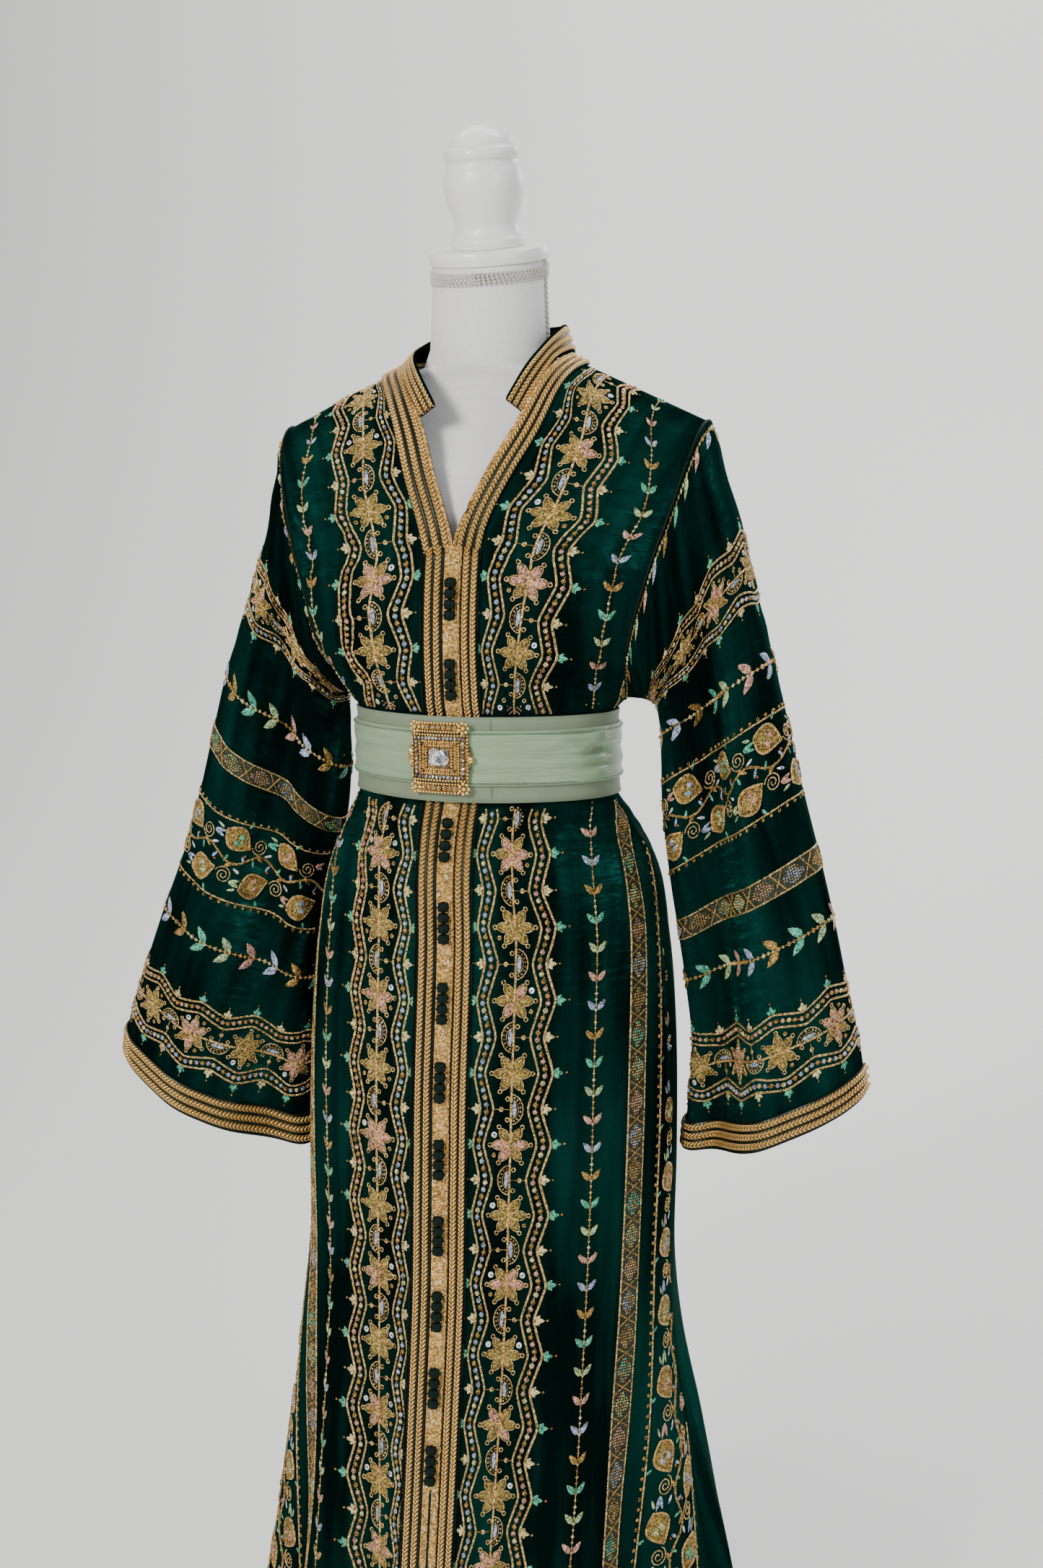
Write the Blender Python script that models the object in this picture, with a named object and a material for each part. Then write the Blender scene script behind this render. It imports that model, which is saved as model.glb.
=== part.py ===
"""A full-length kaftan with its own belt, worn by a limbless dress form on a round stand.

Metres, +Z up. The origin is the centre of the stand's flat underside. The garment's front faces -Y,
and the wearer's left is +X. Every cloth piece is a wall with an outer face made from rings or rows,
and an inner face one thickness behind it. Trims are made from the points of the panel that they lie
on, moved out.
"""

import math

import bmesh
import bpy
import numpy as np

# Driving sizes
CLOTH = 0.0016
SEAM = 0.0003
UNDERARM_HEIGHT = 1.148
BELT_BOTTOM, BELT_TOP = 1.058, 1.136
CORD_WIDTH, CORD_HEIGHT = 0.0058, 0.0022
BRAID_LIFT = 0.0008
BRAID_BASE = 0.0014
LINING_GAP, LINING = 0.0014, 0.0011
BUTTON_PITCH, FIRST_BUTTON_TOP, BUTTON_GROUPS = 0.0725, 1.262, 12
KNOTS_IN_GROUP, KNOT_PITCH, KNOT_WIDTH = 4, 0.0096, 0.0105
FRONT_COLUMNS = 11

# The body's girth below the arms: height, half width, front depth, back depth, shift to the wearer's left
GIRTH_COLUMNS = "height half_width front back shift".split()
GIRTH = (
    (0.02, 0.266, 0.222, 0.240, 0.006),
    (0.14, 0.246, 0.204, 0.223, 0.007),
    (0.27, 0.226, 0.186, 0.204, 0.008),
    (0.34, 0.215, 0.176, 0.193, 0.008),
    (0.42, 0.204, 0.165, 0.181, 0.006),
    (0.51, 0.191, 0.155, 0.170, 0.003),
    (0.59, 0.183, 0.148, 0.162, 0.003),
    (0.71, 0.182, 0.146, 0.160, 0.004),
    (0.83, 0.178, 0.143, 0.156, 0.005),
    (0.92, 0.170, 0.135, 0.149, 0.005),
    (1.00, 0.155, 0.122, 0.134, 0.005),
    (1.035, 0.137, 0.107, 0.115, 0.002),
    (1.055, 0.1265, 0.0955, 0.1010, 0.000),
    (1.098, 0.1240, 0.0930, 0.0980, -0.001),
    (1.136, 0.1255, 0.0950, 0.0985, -0.001),
    (1.148, 0.1360, 0.1000, 0.1030, 0.000),
)

# The centre front line wanders a little as the garment hangs: height, place across
CENTRE_LINE_COLUMNS = "height across".split()
CENTRE_LINE = (
    (0.02, 0.000),
    (0.45, 0.001),
    (0.76, 0.005),
    (0.94, 0.006),
    (1.06, -0.001),
    (1.14, 0.002),
    (1.22, 0.004),
    (1.292, 0.010),
)

# Skirt folds: angle round the body in degrees from the front, half width in degrees, depth out (+) or in (-),
# the height where the fold starts and the height where it is full
FOLD_COLUMNS = "angle spread depth start full".split()
FOLDS = (
    (-18, 6, -0.011, 0.80, 0.08),
    (19, 6, -0.012, 0.78, 0.08),
    (-33, 9, 0.011, 0.85, 0.10),
    (34, 9, 0.013, 0.80, 0.10),
    (-52, 8, -0.016, 0.78, 0.06),
    (54, 8, -0.015, 0.74, 0.06),
    (-73, 9, 0.014, 0.72, 0.06),
    (74, 9, 0.013, 0.70, 0.06),
    (-94, 8, -0.016, 0.68, 0.06),
    (96, 8, -0.018, 0.66, 0.06),
    (-116, 10, 0.020, 0.75, 0.06),
    (118, 10, 0.022, 0.70, 0.06),
    (-138, 9, -0.018, 0.80, 0.06),
    (141, 9, -0.016, 0.84, 0.06),
    (-160, 9, 0.016, 0.85, 0.06),
    (162, 9, 0.015, 0.80, 0.06),
    (180, 8, -0.014, 0.90, 0.06),
)
GATHERS, GATHER_DEPTH, GATHER_FALL = 12, 0.0028, 0.11

# The yoke above the arms, by share of the way from underarm to shoulder: the neckline edge on each
# side, the armhole edge on each side, and the depth of chest and back before they round over the
# shoulder. Left and right are the wearer's
WEARERS_SIDE = {-1: "right", 1: "left"}
YOKE_COLUMNS = ("share", "neck_z_left", "neck_x_left", "neck_z_right", "neck_x_right",
                "arm_z", "arm_x_left", "arm_x_right", "chest", "back")
YOKE = (
    (0.00, 1.148, 0.002, 1.148, 0.002, 1.148, 0.136, -0.136, 0.1000, 0.1030),
    (0.10, 1.180, 0.003, 1.180, 0.003, 1.170, 0.144, -0.144, 0.1060, 0.1070),
    (0.24, 1.224, 0.004, 1.224, 0.004, 1.206, 0.153, -0.154, 0.1090, 0.1050),
    (0.46, 1.290, 0.0075, 1.290, 0.0075, 1.268, 0.172, -0.170, 0.1120, 0.1050),
    (0.66, 1.352, 0.034, 1.350, -0.013, 1.320, 0.190, -0.184, 0.1100, 0.1040),
    (0.83, 1.403, 0.059, 1.400, -0.035, 1.365, 0.203, -0.194, 0.1060, 0.1020),
    (0.93, 1.439, 0.072, 1.434, -0.058, 1.388, 0.209, -0.197, 0.1030, 0.1000),
    (1.00, 1.459, 0.0810, 1.454, -0.0775, 1.400, 0.212, -0.199, 0.1000, 0.1000),
)
BACK_NECK_DEPTH, BACK_NECK_HEIGHT = 0.062, 1.458
TIP_HEIGHT = 1.400

# Rows of the body, from hem to underarm, and then of the yoke
SKIRT_ROWS = (0.02, 0.09, 0.17, 0.25, 0.33, 0.41, 0.49, 0.57, 0.65, 0.73, 0.81, 0.88, 0.935, 0.98,
              1.012, 1.035, 1.055, 1.098, 1.136)
YOKE_ROWS = (0.0, 0.03, 0.10, 0.22, 0.34, 0.46, 0.56, 0.66, 0.75, 0.83, 0.90, 0.955, 0.985, 1.0)

# The back's columns, as shares of its half width; the fifth lies where the neckline meets the shoulder seam
BACK_SHARES = (0.0, 0.14, 0.26, 0.345, 0.388, 0.48, 0.59, 0.70, 0.80, 0.89, 0.96, 1.0)
NECK_SHARE = BACK_SHARES[4]
V_SHARE = YOKE_ROWS[5]

# The sleeves, by share of the way from armhole to hem: the outer edge that hangs from the shoulder, the
# inner edge that hangs from the underarm, and how far the front and back of the tube stand from them
SLEEVE_ROW_COLUMNS = "share outer_x outer_z inner_x inner_z middle front back".split()
LEFT_SLEEVE = (
    (0.00, 0.2125, 1.401, 0.139, 1.150, 0.000, 0.058, 0.056),
    (0.08, 0.228, 1.356, 0.150, 1.149, 0.000, 0.056, 0.054),
    (0.16, 0.245, 1.300, 0.160, 1.147, 0.000, 0.052, 0.050),
    (0.25, 0.260, 1.246, 0.166, 1.140, 0.000, 0.048, 0.046),
    (0.35, 0.277, 1.187, 0.169, 1.112, 0.002, 0.045, 0.044),
    (0.44, 0.291, 1.132, 0.170, 1.052, 0.004, 0.044, 0.044),
    (0.54, 0.306, 1.070, 0.177, 0.985, 0.008, 0.046, 0.044),
    (0.64, 0.322, 1.010, 0.186, 0.928, 0.012, 0.050, 0.044),
    (0.74, 0.337, 0.949, 0.194, 0.876, 0.014, 0.054, 0.046),
    (0.84, 0.350, 0.888, 0.200, 0.818, 0.015, 0.058, 0.050),
    (0.94, 0.364, 0.826, 0.196, 0.753, 0.015, 0.061, 0.054),
    (1.00, 0.368, 0.792, 0.193, 0.716, 0.015, 0.062, 0.056),
)
RIGHT_SLEEVE = (
    (0.00, -0.1995, 1.399, -0.139, 1.150, 0.000, 0.058, 0.056),
    (0.08, -0.213, 1.350, -0.146, 1.149, 0.000, 0.056, 0.054),
    (0.16, -0.222, 1.301, -0.150, 1.147, 0.000, 0.052, 0.050),
    (0.27, -0.246, 1.231, -0.152, 1.135, 0.000, 0.048, 0.046),
    (0.38, -0.272, 1.162, -0.153, 1.066, 0.002, 0.046, 0.044),
    (0.46, -0.288, 1.110, -0.160, 1.012, 0.004, 0.046, 0.044),
    (0.56, -0.305, 1.046, -0.175, 0.980, 0.006, 0.048, 0.044),
    (0.66, -0.324, 0.983, -0.188, 0.915, 0.008, 0.052, 0.046),
    (0.75, -0.347, 0.924, -0.194, 0.848, 0.008, 0.056, 0.048),
    (0.85, -0.371, 0.860, -0.196, 0.784, 0.008, 0.058, 0.052),
    (0.94, -0.391, 0.803, -0.197, 0.720, 0.008, 0.060, 0.056),
    (1.00, -0.397, 0.769, -0.198, 0.677, 0.008, 0.061, 0.058),
)
SLEEVE_ROWS = (0.0, 0.045, 0.09, 0.16, 0.25, 0.35, 0.46, 0.58, 0.70, 0.82, 0.91, 1.0)

# Sleeve folds run down the tube: share across from outer to inner edge at the armhole and at the hem,
# half width, depth in (-) or out (+), and 1 for the front of the tube or -1 for its back
SLEEVE_FOLD_COLUMNS = "top_across hem_across spread depth face".split()
LEFT_SLEEVE_FOLDS = (
    (0.42, 0.84, 0.17, -0.036, 1),
    (0.16, 0.50, 0.12, 0.006, 1),
    (0.30, 0.35, 0.10, -0.012, -1),
    (0.62, 0.72, 0.10, 0.010, -1),
)
RIGHT_SLEEVE_FOLDS = (
    (0.40, 0.86, 0.16, -0.028, 1),
    (0.18, 0.40, 0.12, 0.006, 1),
    (0.34, 0.40, 0.10, 0.010, -1),
    (0.66, 0.70, 0.10, -0.012, -1),
)
HEM_DROP_FRONT, HEM_DROP_BACK = 0.013, 0.024

# The standing collar: share of the way round from the wearer's right front corner to the left one, the
# seam that it stands on and its top edge
COLLAR_COLUMNS = "share seam_x seam_y seam_z edge_x edge_y edge_z".split()
COLLAR = (
    (0.00, -0.0350, -0.0765, 1.4010, -0.0190, -0.0830, 1.4130),
    (0.09, -0.0530, -0.0620, 1.4260, -0.0400, -0.0690, 1.4440),
    (0.18, -0.0680, -0.0360, 1.4445, -0.0545, -0.0430, 1.4600),
    (0.28, -0.0765, -0.0020, 1.4545, -0.0625, -0.0050, 1.4710),
    (0.39, -0.0610, 0.0400, 1.4590, -0.0540, 0.0375, 1.4840),
    (0.50, 0.0020, 0.0635, 1.4600, 0.0040, 0.0610, 1.4900),
    (0.61, 0.0650, 0.0400, 1.4620, 0.0600, 0.0375, 1.4900),
    (0.72, 0.0815, -0.0020, 1.4625, 0.0735, -0.0045, 1.4860),
    (0.82, 0.0760, -0.0350, 1.4520, 0.0700, -0.0420, 1.4690),
    (0.91, 0.0680, -0.0600, 1.4290, 0.0610, -0.0690, 1.4470),
    (1.00, 0.0600, -0.0765, 1.4040, 0.0480, -0.0840, 1.4175),
)

# Trim profiles across a braid, from its outer edge to the opening: place in metres, height above its base
CORD_SHAPE = ((0.0, 0.0), (0.5, 1.0), (1.0, 0.0))
PLACKET_EDGE, BAND_LEFT, BAND_RIGHT, PLACKET_TOP = 0.0268, -0.0066, 0.0096, 0.450
NECK_BRAID_WIDTH = 0.0262
NECK_BRAID_LIFT, NECK_BRAID_LIFT_AT_BACK = 0.0014, 0.0030

# The dress form, ring by ring: height, half width, front depth, back depth, shift. Where no width is
# given, the ring ends just under the shoulder seam of the garment that it carries
FORM_COLUMNS = "height half_width front back shift".split()
FORM = (
    (0.780, 0.134, 0.098, 0.104, 0.000),
    (0.796, 0.150, 0.112, 0.120, 0.000),
    (0.860, 0.158, 0.121, 0.130, 0.000),
    (0.940, 0.150, 0.114, 0.124, 0.000),
    (1.020, 0.131, 0.097, 0.105, 0.000),
    (1.098, 0.113, 0.085, 0.088, 0.000),
    (1.170, 0.124, 0.092, 0.090, 0.000),
    (1.260, 0.140, 0.102, 0.093, 0.001),
    (1.320, 0.156, 0.094, 0.086, 0.002),
    (1.360, 0.177, 0.076, 0.072, 0.003),
    (1.382, 0.186, 0.058, 0.058, 0.003),
    (1.400, None, 0.045, 0.047, None),
    (1.415, None, 0.042, 0.044, None),
    (1.430, None, 0.042, 0.045, None),
    (1.441, None, 0.044, 0.048, None),
    (1.452, 0.0635, 0.050, 0.053, 0.0035),
    (1.468, 0.0565, 0.053, 0.054, 0.0035),
    (1.500, 0.0545, 0.053, 0.055, 0.0035),
    (1.548, 0.0530, 0.053, 0.054, 0.0030),
)
FORM_SIDES = 20
FORM_UNDER_SEAM = 0.0028
NECK_TOP = 1.548
PLATE_CENTRE, PLATE_RADIUS, PLATE_HEIGHT, PLATE_TILT = 0.003, 0.0555, 0.0130, math.radians(13.0)

# The turned finial: height above the neck plate, radius
FINIAL = (
    (0.0000, 0.0338),
    (0.0075, 0.0343),
    (0.0100, 0.0320),
    (0.0190, 0.0290),
    (0.0290, 0.0314),
    (0.0420, 0.0354),
    (0.0540, 0.0368),
    (0.0660, 0.0356),
    (0.0770, 0.0326),
    (0.0785, 0.0337),
    (0.0865, 0.0334),
    (0.0880, 0.0312),
    (0.0955, 0.0272),
    (0.1020, 0.0190),
    (0.1065, 0.0085),
)

# The stand
BASE_RADIUS, BASE_THICKNESS, BASE_EDGE = 0.165, 0.020, 0.006
POLE_RADIUS = 0.014

BELT_SIDES, BELT_GAP, BELT_OVER_PLACKET = 32, 0.0011, 0.0056

# The buckle: places across and up its plate, and how high each ring of the plate stands
BUCKLE_CENTRE_ANGLE, BUCKLE_HEIGHT_CENTRE = -3.0, 1.099
BUCKLE_ACROSS = (-0.0300, -0.0262, -0.0225, -0.0165, -0.0115, 0.0115, 0.0165, 0.0225, 0.0262, 0.0300)
BUCKLE_UP = (-0.0340, -0.0302, -0.0262, -0.0165, -0.0098, 0.0098, 0.0165, 0.0262, 0.0302, 0.0340)
BUCKLE_RELIEF = (0.0022, 0.0038, 0.0026, 0.0040, 0.0014)
STONE_WIDTH, STONE_HEIGHT, STONE_DEPTH = 0.0200, 0.0165, 0.0052

COLOURS = {
    "satin": ((0.006, 0.055, 0.036), 0.36, 0.0),
    "gold_cord": ((0.62, 0.40, 0.17), 0.45, 0.6),
    "knot_silk": ((0.004, 0.030, 0.020), 0.70, 0.0),
    "lining": ((0.050, 0.085, 0.055), 0.60, 0.0),
    "belt_band": ((0.24, 0.30, 0.20), 0.60, 0.0),
    "belt_satin": ((0.33, 0.47, 0.30), 0.42, 0.0),
    "buckle_gold": ((0.80, 0.55, 0.20), 0.28, 1.0),
    "crystal": ((0.80, 0.86, 0.92), 0.05, 0.0),
    "form_linen": ((0.78, 0.78, 0.77), 0.85, 0.0),
    "painted_wood": ((0.84, 0.84, 0.83), 0.35, 0.0),
    "stand_metal": ((0.80, 0.80, 0.79), 0.35, 0.6),
}


# Reading the tables
def smooth(keys, values, key):
    """A smooth curve through (keys, values), read at key, which may be an array."""
    keys, values, key = (np.asarray(v, float) for v in (keys, values, key))
    slopes = np.gradient(values, keys)
    key = np.clip(key, keys[0], keys[-1])
    i = np.clip(np.searchsorted(keys, key, side="right") - 1, 0, len(keys) - 2)
    step = keys[i + 1] - keys[i]
    t = (key - keys[i]) / step
    start, end = values[i], values[i + 1]
    return (
        start * (1 + 2 * t) * (1 - t) ** 2
        + end * t * t * (3 - 2 * t)
        + slopes[i] * step * t * (1 - t) ** 2
        - slopes[i + 1] * step * t * t * (1 - t)
    )


def column(table, names, name, key):
    """One named column of a table, read at key along its first column."""
    rows = np.array(table, float)
    return smooth(rows[:, 0], rows[:, names.index(name)], key)


def ease(x):
    x = np.clip(x, 0.0, 1.0)
    return x * x * (3 - 2 * x)


# The body of the garment
def fold_depth(angle, height):
    """How far the skirt's folds and the gathers under the belt move the cloth out, angle in degrees."""
    out = np.zeros_like(np.asarray(angle, float) + np.asarray(height, float))
    for row in FOLDS:
        fold = dict(zip(FOLD_COLUMNS, row))
        away = (angle - fold["angle"] + 180.0) % 360.0 - 180.0
        grown = ease((fold["start"] - height) / (fold["start"] - fold["full"]))
        out = out + fold["depth"] * grown * np.exp(-((away / fold["spread"]) ** 2))
    under = np.clip((1.04 - height) / 0.02, 0, 1) * ease(1 - (1.04 - height) / GATHER_FALL)
    gathers = np.cos(np.radians(angle * GATHERS)) * ease(np.abs(angle) / 24.0)
    return out + GATHER_DEPTH * gathers * under


def ring_point(angle, height):
    """A point of the body's ring at a height below the arms, angle in degrees round from the front."""
    half, front, back, shift = (column(GIRTH, GIRTH_COLUMNS, n, height) for n in GIRTH_COLUMNS[1:])
    turn = np.radians(angle)
    fold = fold_depth(angle, height)
    deep = np.where(np.cos(turn) > 0, front, back)
    x = shift + (half + fold) * np.sin(turn)
    y = -(deep + fold) * np.cos(turn)
    return np.stack([x, y, np.broadcast_to(height, x.shape)], axis=-1)


def rounding(share):
    """How much of the chest's depth is left as the yoke rounds over the shoulder."""
    return np.sqrt(np.clip(1 - share**4, 0, 1))


def yoke_point(side, across, share):
    """A point of the front yoke: across 0 at the placket or neckline edge, 1 at the armhole edge."""
    neck_x, neck_z = (neck_edge(side, share, k) for k in "xz")
    arm_x = column(YOKE, YOKE_COLUMNS, f"arm_x_{WEARERS_SIDE[side]}", share)
    arm_z = column(YOKE, YOKE_COLUMNS, "arm_z", share)
    chest = column(YOKE, YOKE_COLUMNS, "chest", share)
    x = neck_x + (arm_x - neck_x) * across
    z = neck_z + (arm_z - neck_z) * across
    return np.stack([x, -chest * yoke_profile(x, arm_x, share), z], axis=-1)


def neck_edge(side, share, axis):
    """The centre line below the V point and the neckline above it, on one side."""
    both = [column(YOKE, YOKE_COLUMNS, f"neck_{axis}_{WEARERS_SIDE[s]}", share) for s in (-1, 1)]
    own = both[1] if side > 0 else both[0]
    return np.where(np.asarray(share) < V_SHARE, (both[0] + both[1]) / 2, own)


def yoke_profile(x, arm_x, share):
    power = 2 + ease(share / 0.3)
    reach = np.abs(arm_x) * (1 + 0.05 * ease(share / 0.2))
    flat = np.clip(1 - np.abs(x / reach) ** power, 0, 1) ** (1 / power)
    return flat * rounding(share)


def back_point(across, share):
    """A point of the back yoke: across -1 at the wearer's right armhole, 1 at the left one."""
    left = across > 0
    arm_x = np.where(
        left,
        column(YOKE, YOKE_COLUMNS, "arm_x_left", share),
        -column(YOKE, YOKE_COLUMNS, "arm_x_right", share),
    )
    arm_z = column(YOKE, YOKE_COLUMNS, "arm_z", share)
    deep = column(YOKE, YOKE_COLUMNS, "back", share)
    x = arm_x * across
    top = dict(zip(YOKE_COLUMNS, YOKE[-1]))
    neck_z = np.where(left, top["neck_z_left"], top["neck_z_right"])
    inside = np.clip(np.abs(across) / NECK_SHARE, 0, 1)
    seam_z = neck_z + (TIP_HEIGHT - neck_z) * np.clip((np.abs(across) - NECK_SHARE) / (1 - NECK_SHARE), 0, 1)
    neck_curve = BACK_NECK_HEIGHT + (neck_z - BACK_NECK_HEIGHT) * inside**2
    top_z = np.where(np.abs(across) < NECK_SHARE, neck_curve, seam_z)
    top_y = BACK_NECK_DEPTH * np.sqrt(1 - inside**2)
    rise = (arm_z - UNDERARM_HEIGHT) / (TIP_HEIGHT - UNDERARM_HEIGHT)
    z = UNDERARM_HEIGHT + (top_z - UNDERARM_HEIGHT) * rise
    full = deep * yoke_profile(x, arm_x, share)
    y = np.sqrt(full**2 + (top_y * share**3) ** 2)
    return np.stack([x, y, z], axis=-1)


def front_grid(side, columns, skirt_rows=SKIRT_ROWS, yoke_rows=YOKE_ROWS):
    """The outer points of a front panel, from hem to shoulder, from the centre front to the side."""
    rows = []
    for height in skirt_rows:
        centre = float(column(CENTRE_LINE, CENTRE_LINE_COLUMNS, "across", height))
        shift = float(column(GIRTH, GIRTH_COLUMNS, "shift", height))
        half = float(column(GIRTH, GIRTH_COLUMNS, "half_width", height))
        start = math.degrees(math.asin((centre - shift) / half)) * side
        angles = side * (start + (90.0 - start) * columns)
        rows.append(ring_point(angles, np.full(len(columns), height)))
    for share in yoke_rows:
        across = np.sin(columns * math.pi / 2)
        rows.append(yoke_point(side, across, np.full(len(columns), share)))
    grid = np.array(rows)
    grid[..., 1] -= SEAM * 0.6
    grid[:, 0, 0] += side * SEAM
    return grid


def back_grid(across, skirt_rows=SKIRT_ROWS, yoke_rows=YOKE_ROWS):
    """The outer points of the back panel, from side to side."""
    rows = []
    for height in skirt_rows:
        rows.append(ring_point(180.0 - np.degrees(np.arcsin(across)), np.full(len(across), height)))
    for share in yoke_rows:
        rows.append(back_point(across, np.full(len(across), share)))
    grid = np.array(rows)
    grid[..., 1] += SEAM * 0.6
    return grid


# The sleeves
def armhole_point(side, turn):
    """The armhole edge: turn 0 at the shoulder, pi at the underarm, front first."""
    front = np.sin(turn) >= 0
    share = (1 + np.cos(turn)) / 2
    edge_front = yoke_point(side, np.ones_like(turn), share)
    edge_back = back_point(np.full_like(turn, float(side)), share)
    return np.where(front[:, None], edge_front, edge_back)


def sleeve_point(side, share, turn):
    """A ring of the sleeve: turn 0 at the outer edge, pi at the inner edge, front first."""
    table, folds = (LEFT_SLEEVE, LEFT_SLEEVE_FOLDS) if side > 0 else (RIGHT_SLEEVE, RIGHT_SLEEVE_FOLDS)
    row = {n: float(column(table, SLEEVE_ROW_COLUMNS, n, share)) for n in SLEEVE_ROW_COLUMNS[1:]}
    across = (1 - np.cos(turn)) / 2
    face = np.where(np.sin(turn) >= 0, 1.0, -1.0)
    x = row["outer_x"] + (row["inner_x"] - row["outer_x"]) * across
    z = row["outer_z"] + (row["inner_z"] - row["outer_z"]) * across
    swell = np.abs(np.sin(turn)) ** 0.85
    deep = np.where(face > 0, row["front"], row["back"]) * swell
    grown = float(ease(share / 0.45))
    for values in folds:
        fold = dict(zip(SLEEVE_FOLD_COLUMNS, values))
        place = fold["top_across"] + (fold["hem_across"] - fold["top_across"]) * share
        shape = np.exp(-(((across - place) / fold["spread"]) ** 2))
        deep = deep + np.where(face == fold["face"], fold["depth"] * grown * shape * swell, 0.0)
    y = row["middle"] + 0.022 * grown * (across - 0.5) - face * deep
    drop = np.where(face > 0, HEM_DROP_FRONT, HEM_DROP_BACK) * share**4
    z = z - drop * np.abs(np.sin(turn))
    ring = np.stack([x, y, z], axis=-1)
    start = armhole_point(side, turn)
    start[:, 0] += side * 2 * SEAM
    return start + (ring - start) * float(ease(share / 0.22))


def sleeve_grid(side, turns, rows=SLEEVE_ROWS):
    return np.array([sleeve_point(side, share, turns) for share in rows])


# Building walls
def grid_normals(grid, closed):
    """Unit normals of a grid of points, pointing away from each row's middle."""
    if closed:
        along = np.roll(grid, -1, axis=1) - np.roll(grid, 1, axis=1)
    else:
        along = np.gradient(grid, axis=1)
    up = np.gradient(grid, axis=0)
    normals = np.cross(along, up)
    normals /= np.linalg.norm(normals, axis=-1, keepdims=True) + 1e-12
    middle = grid.mean(axis=1, keepdims=True) if closed else np.array([0.0, 0.0, 0.0])
    outward = (normals * (grid - middle) * np.array([1.0, 1.0, 1.0 if closed else 0.0])).sum()
    return normals if outward > 0 else -normals


def add_mesh(name, points, faces, material, smooth_angle=50.0):
    """One object from points and faces, turned so that its faces point out."""
    mesh = bpy.data.meshes.new(name)
    bm = bmesh.new()
    verts = [bm.verts.new(p) for p in points]
    for face in faces:
        bm.faces.new([verts[i] for i in face])
    if bm.calc_volume(signed=True) < 0:
        bmesh.ops.reverse_faces(bm, faces=bm.faces)
    bm.to_mesh(mesh)
    bm.free()
    mesh.shade_smooth()
    mesh.set_sharp_from_angle(angle=math.radians(smooth_angle))
    mesh.materials.append(MATERIALS[material])
    piece = bpy.data.objects.new(name, mesh)
    bpy.context.scene.collection.objects.link(piece)
    return piece


def wall(name, grid, material, low=-CLOTH, high=0.0, closed=False, normals=None):
    """A closed wall between two copies of a grid, moved low and high along its normals."""
    if normals is None:
        normals = grid_normals(grid, closed)
    low, high = (np.broadcast_to(v, grid.shape[:2])[..., None] for v in (low, high))
    rows, columns = grid.shape[:2]
    points = np.concatenate([(grid + normals * high).reshape(-1, 3), (grid + normals * low).reshape(-1, 3)])
    inner = rows * columns
    faces = []
    last = columns if closed else columns - 1
    for r in range(rows - 1):
        for c in range(last):
            a, b = r * columns + c, r * columns + (c + 1) % columns
            d, e = a + columns, b + columns
            faces.append((a, b, e, d))
            faces.append((inner + a, inner + d, inner + e, inner + b))
    for c in range(last):
        n = (c + 1) % columns
        top = (rows - 1) * columns
        faces.append((c, inner + c, inner + n, n))
        faces.append((top + c, top + n, inner + top + n, inner + top + c))
    if not closed:
        for r in range(rows - 1):
            left, right = r * columns, r * columns + columns - 1
            faces.append((left, left + columns, inner + left + columns, inner + left))
            faces.append((right, inner + right, inner + right + columns, right + columns))
    return add_mesh(name, points, faces, material)


def ribbed_strip(name, sections, material, closed=False):
    """A strip swept through cross-sections of the same length, each a closed loop of points."""
    sections = np.asarray(sections)
    count, size = sections.shape[:2]
    faces = []
    for r in range(count if closed else count - 1):
        for c in range(size):
            a, b = r * size + c, r * size + (c + 1) % size
            d, e = (a + size) % (count * size), (b + size) % (count * size)
            faces.append((a, b, e, d))
    if not closed:
        faces.append(tuple(range(size))[::-1])
        faces.append(tuple((count - 1) * size + c for c in range(size)))
    return add_mesh(name, sections.reshape(-1, 3), faces, material, 35.0)


def cord_profile(width, cords, lead, gap):
    """Places across a braid and heights over its base, with raised cords that start lead from one edge."""
    places, heights = [0.0], [0.0]
    for cord in range(cords):
        start = lead + cord * (CORD_WIDTH + gap)
        for share, lift in CORD_SHAPE:
            places.append(start + share * CORD_WIDTH)
            heights.append(lift * CORD_HEIGHT)
    places.append(width)
    heights.append(0.0)
    return np.array(places), np.array(heights)


def section(points, normals, places, heights, lift=BRAID_LIFT):
    """One cross-section over an edge line: points and normals at the two edges, cord heights between them."""
    share = (places - places[0]) / (places[-1] - places[0])
    base = points[0] + (points[1] - points[0]) * share[:, None]
    normal = normals[0] + (normals[1] - normals[0]) * share[:, None]
    normal /= np.linalg.norm(normal, axis=1, keepdims=True)
    bow = surface_bow(points, normals) * (share * (1 - share))[:, None] * normal
    top = base + bow + normal * (lift + BRAID_BASE + heights)[:, None]
    under = (base + bow + normal * lift)[[-1, len(places) // 2, 0]]
    return np.concatenate([top, under])


def surface_bow(points, normals):
    """Four times the height of the arc that leaves both edges square to their normals."""
    chord = points[1] - points[0]
    return float(max(0.0, np.dot(normals[0], -chord) * -1 + np.dot(normals[1], -chord)) / 2)


# Materials
def make_materials():
    made = {}
    for name, (colour, roughness, metallic) in COLOURS.items():
        material = bpy.data.materials.new(name)
        material.use_nodes = True
        shader = material.node_tree.nodes["Principled BSDF"]
        shader.inputs["Base Color"].default_value = (*colour, 1.0)
        shader.inputs["Roughness"].default_value = roughness
        shader.inputs["Metallic"].default_value = metallic
        material.diffuse_color = (*colour, 1.0)
        made[name] = material
    return made


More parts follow.
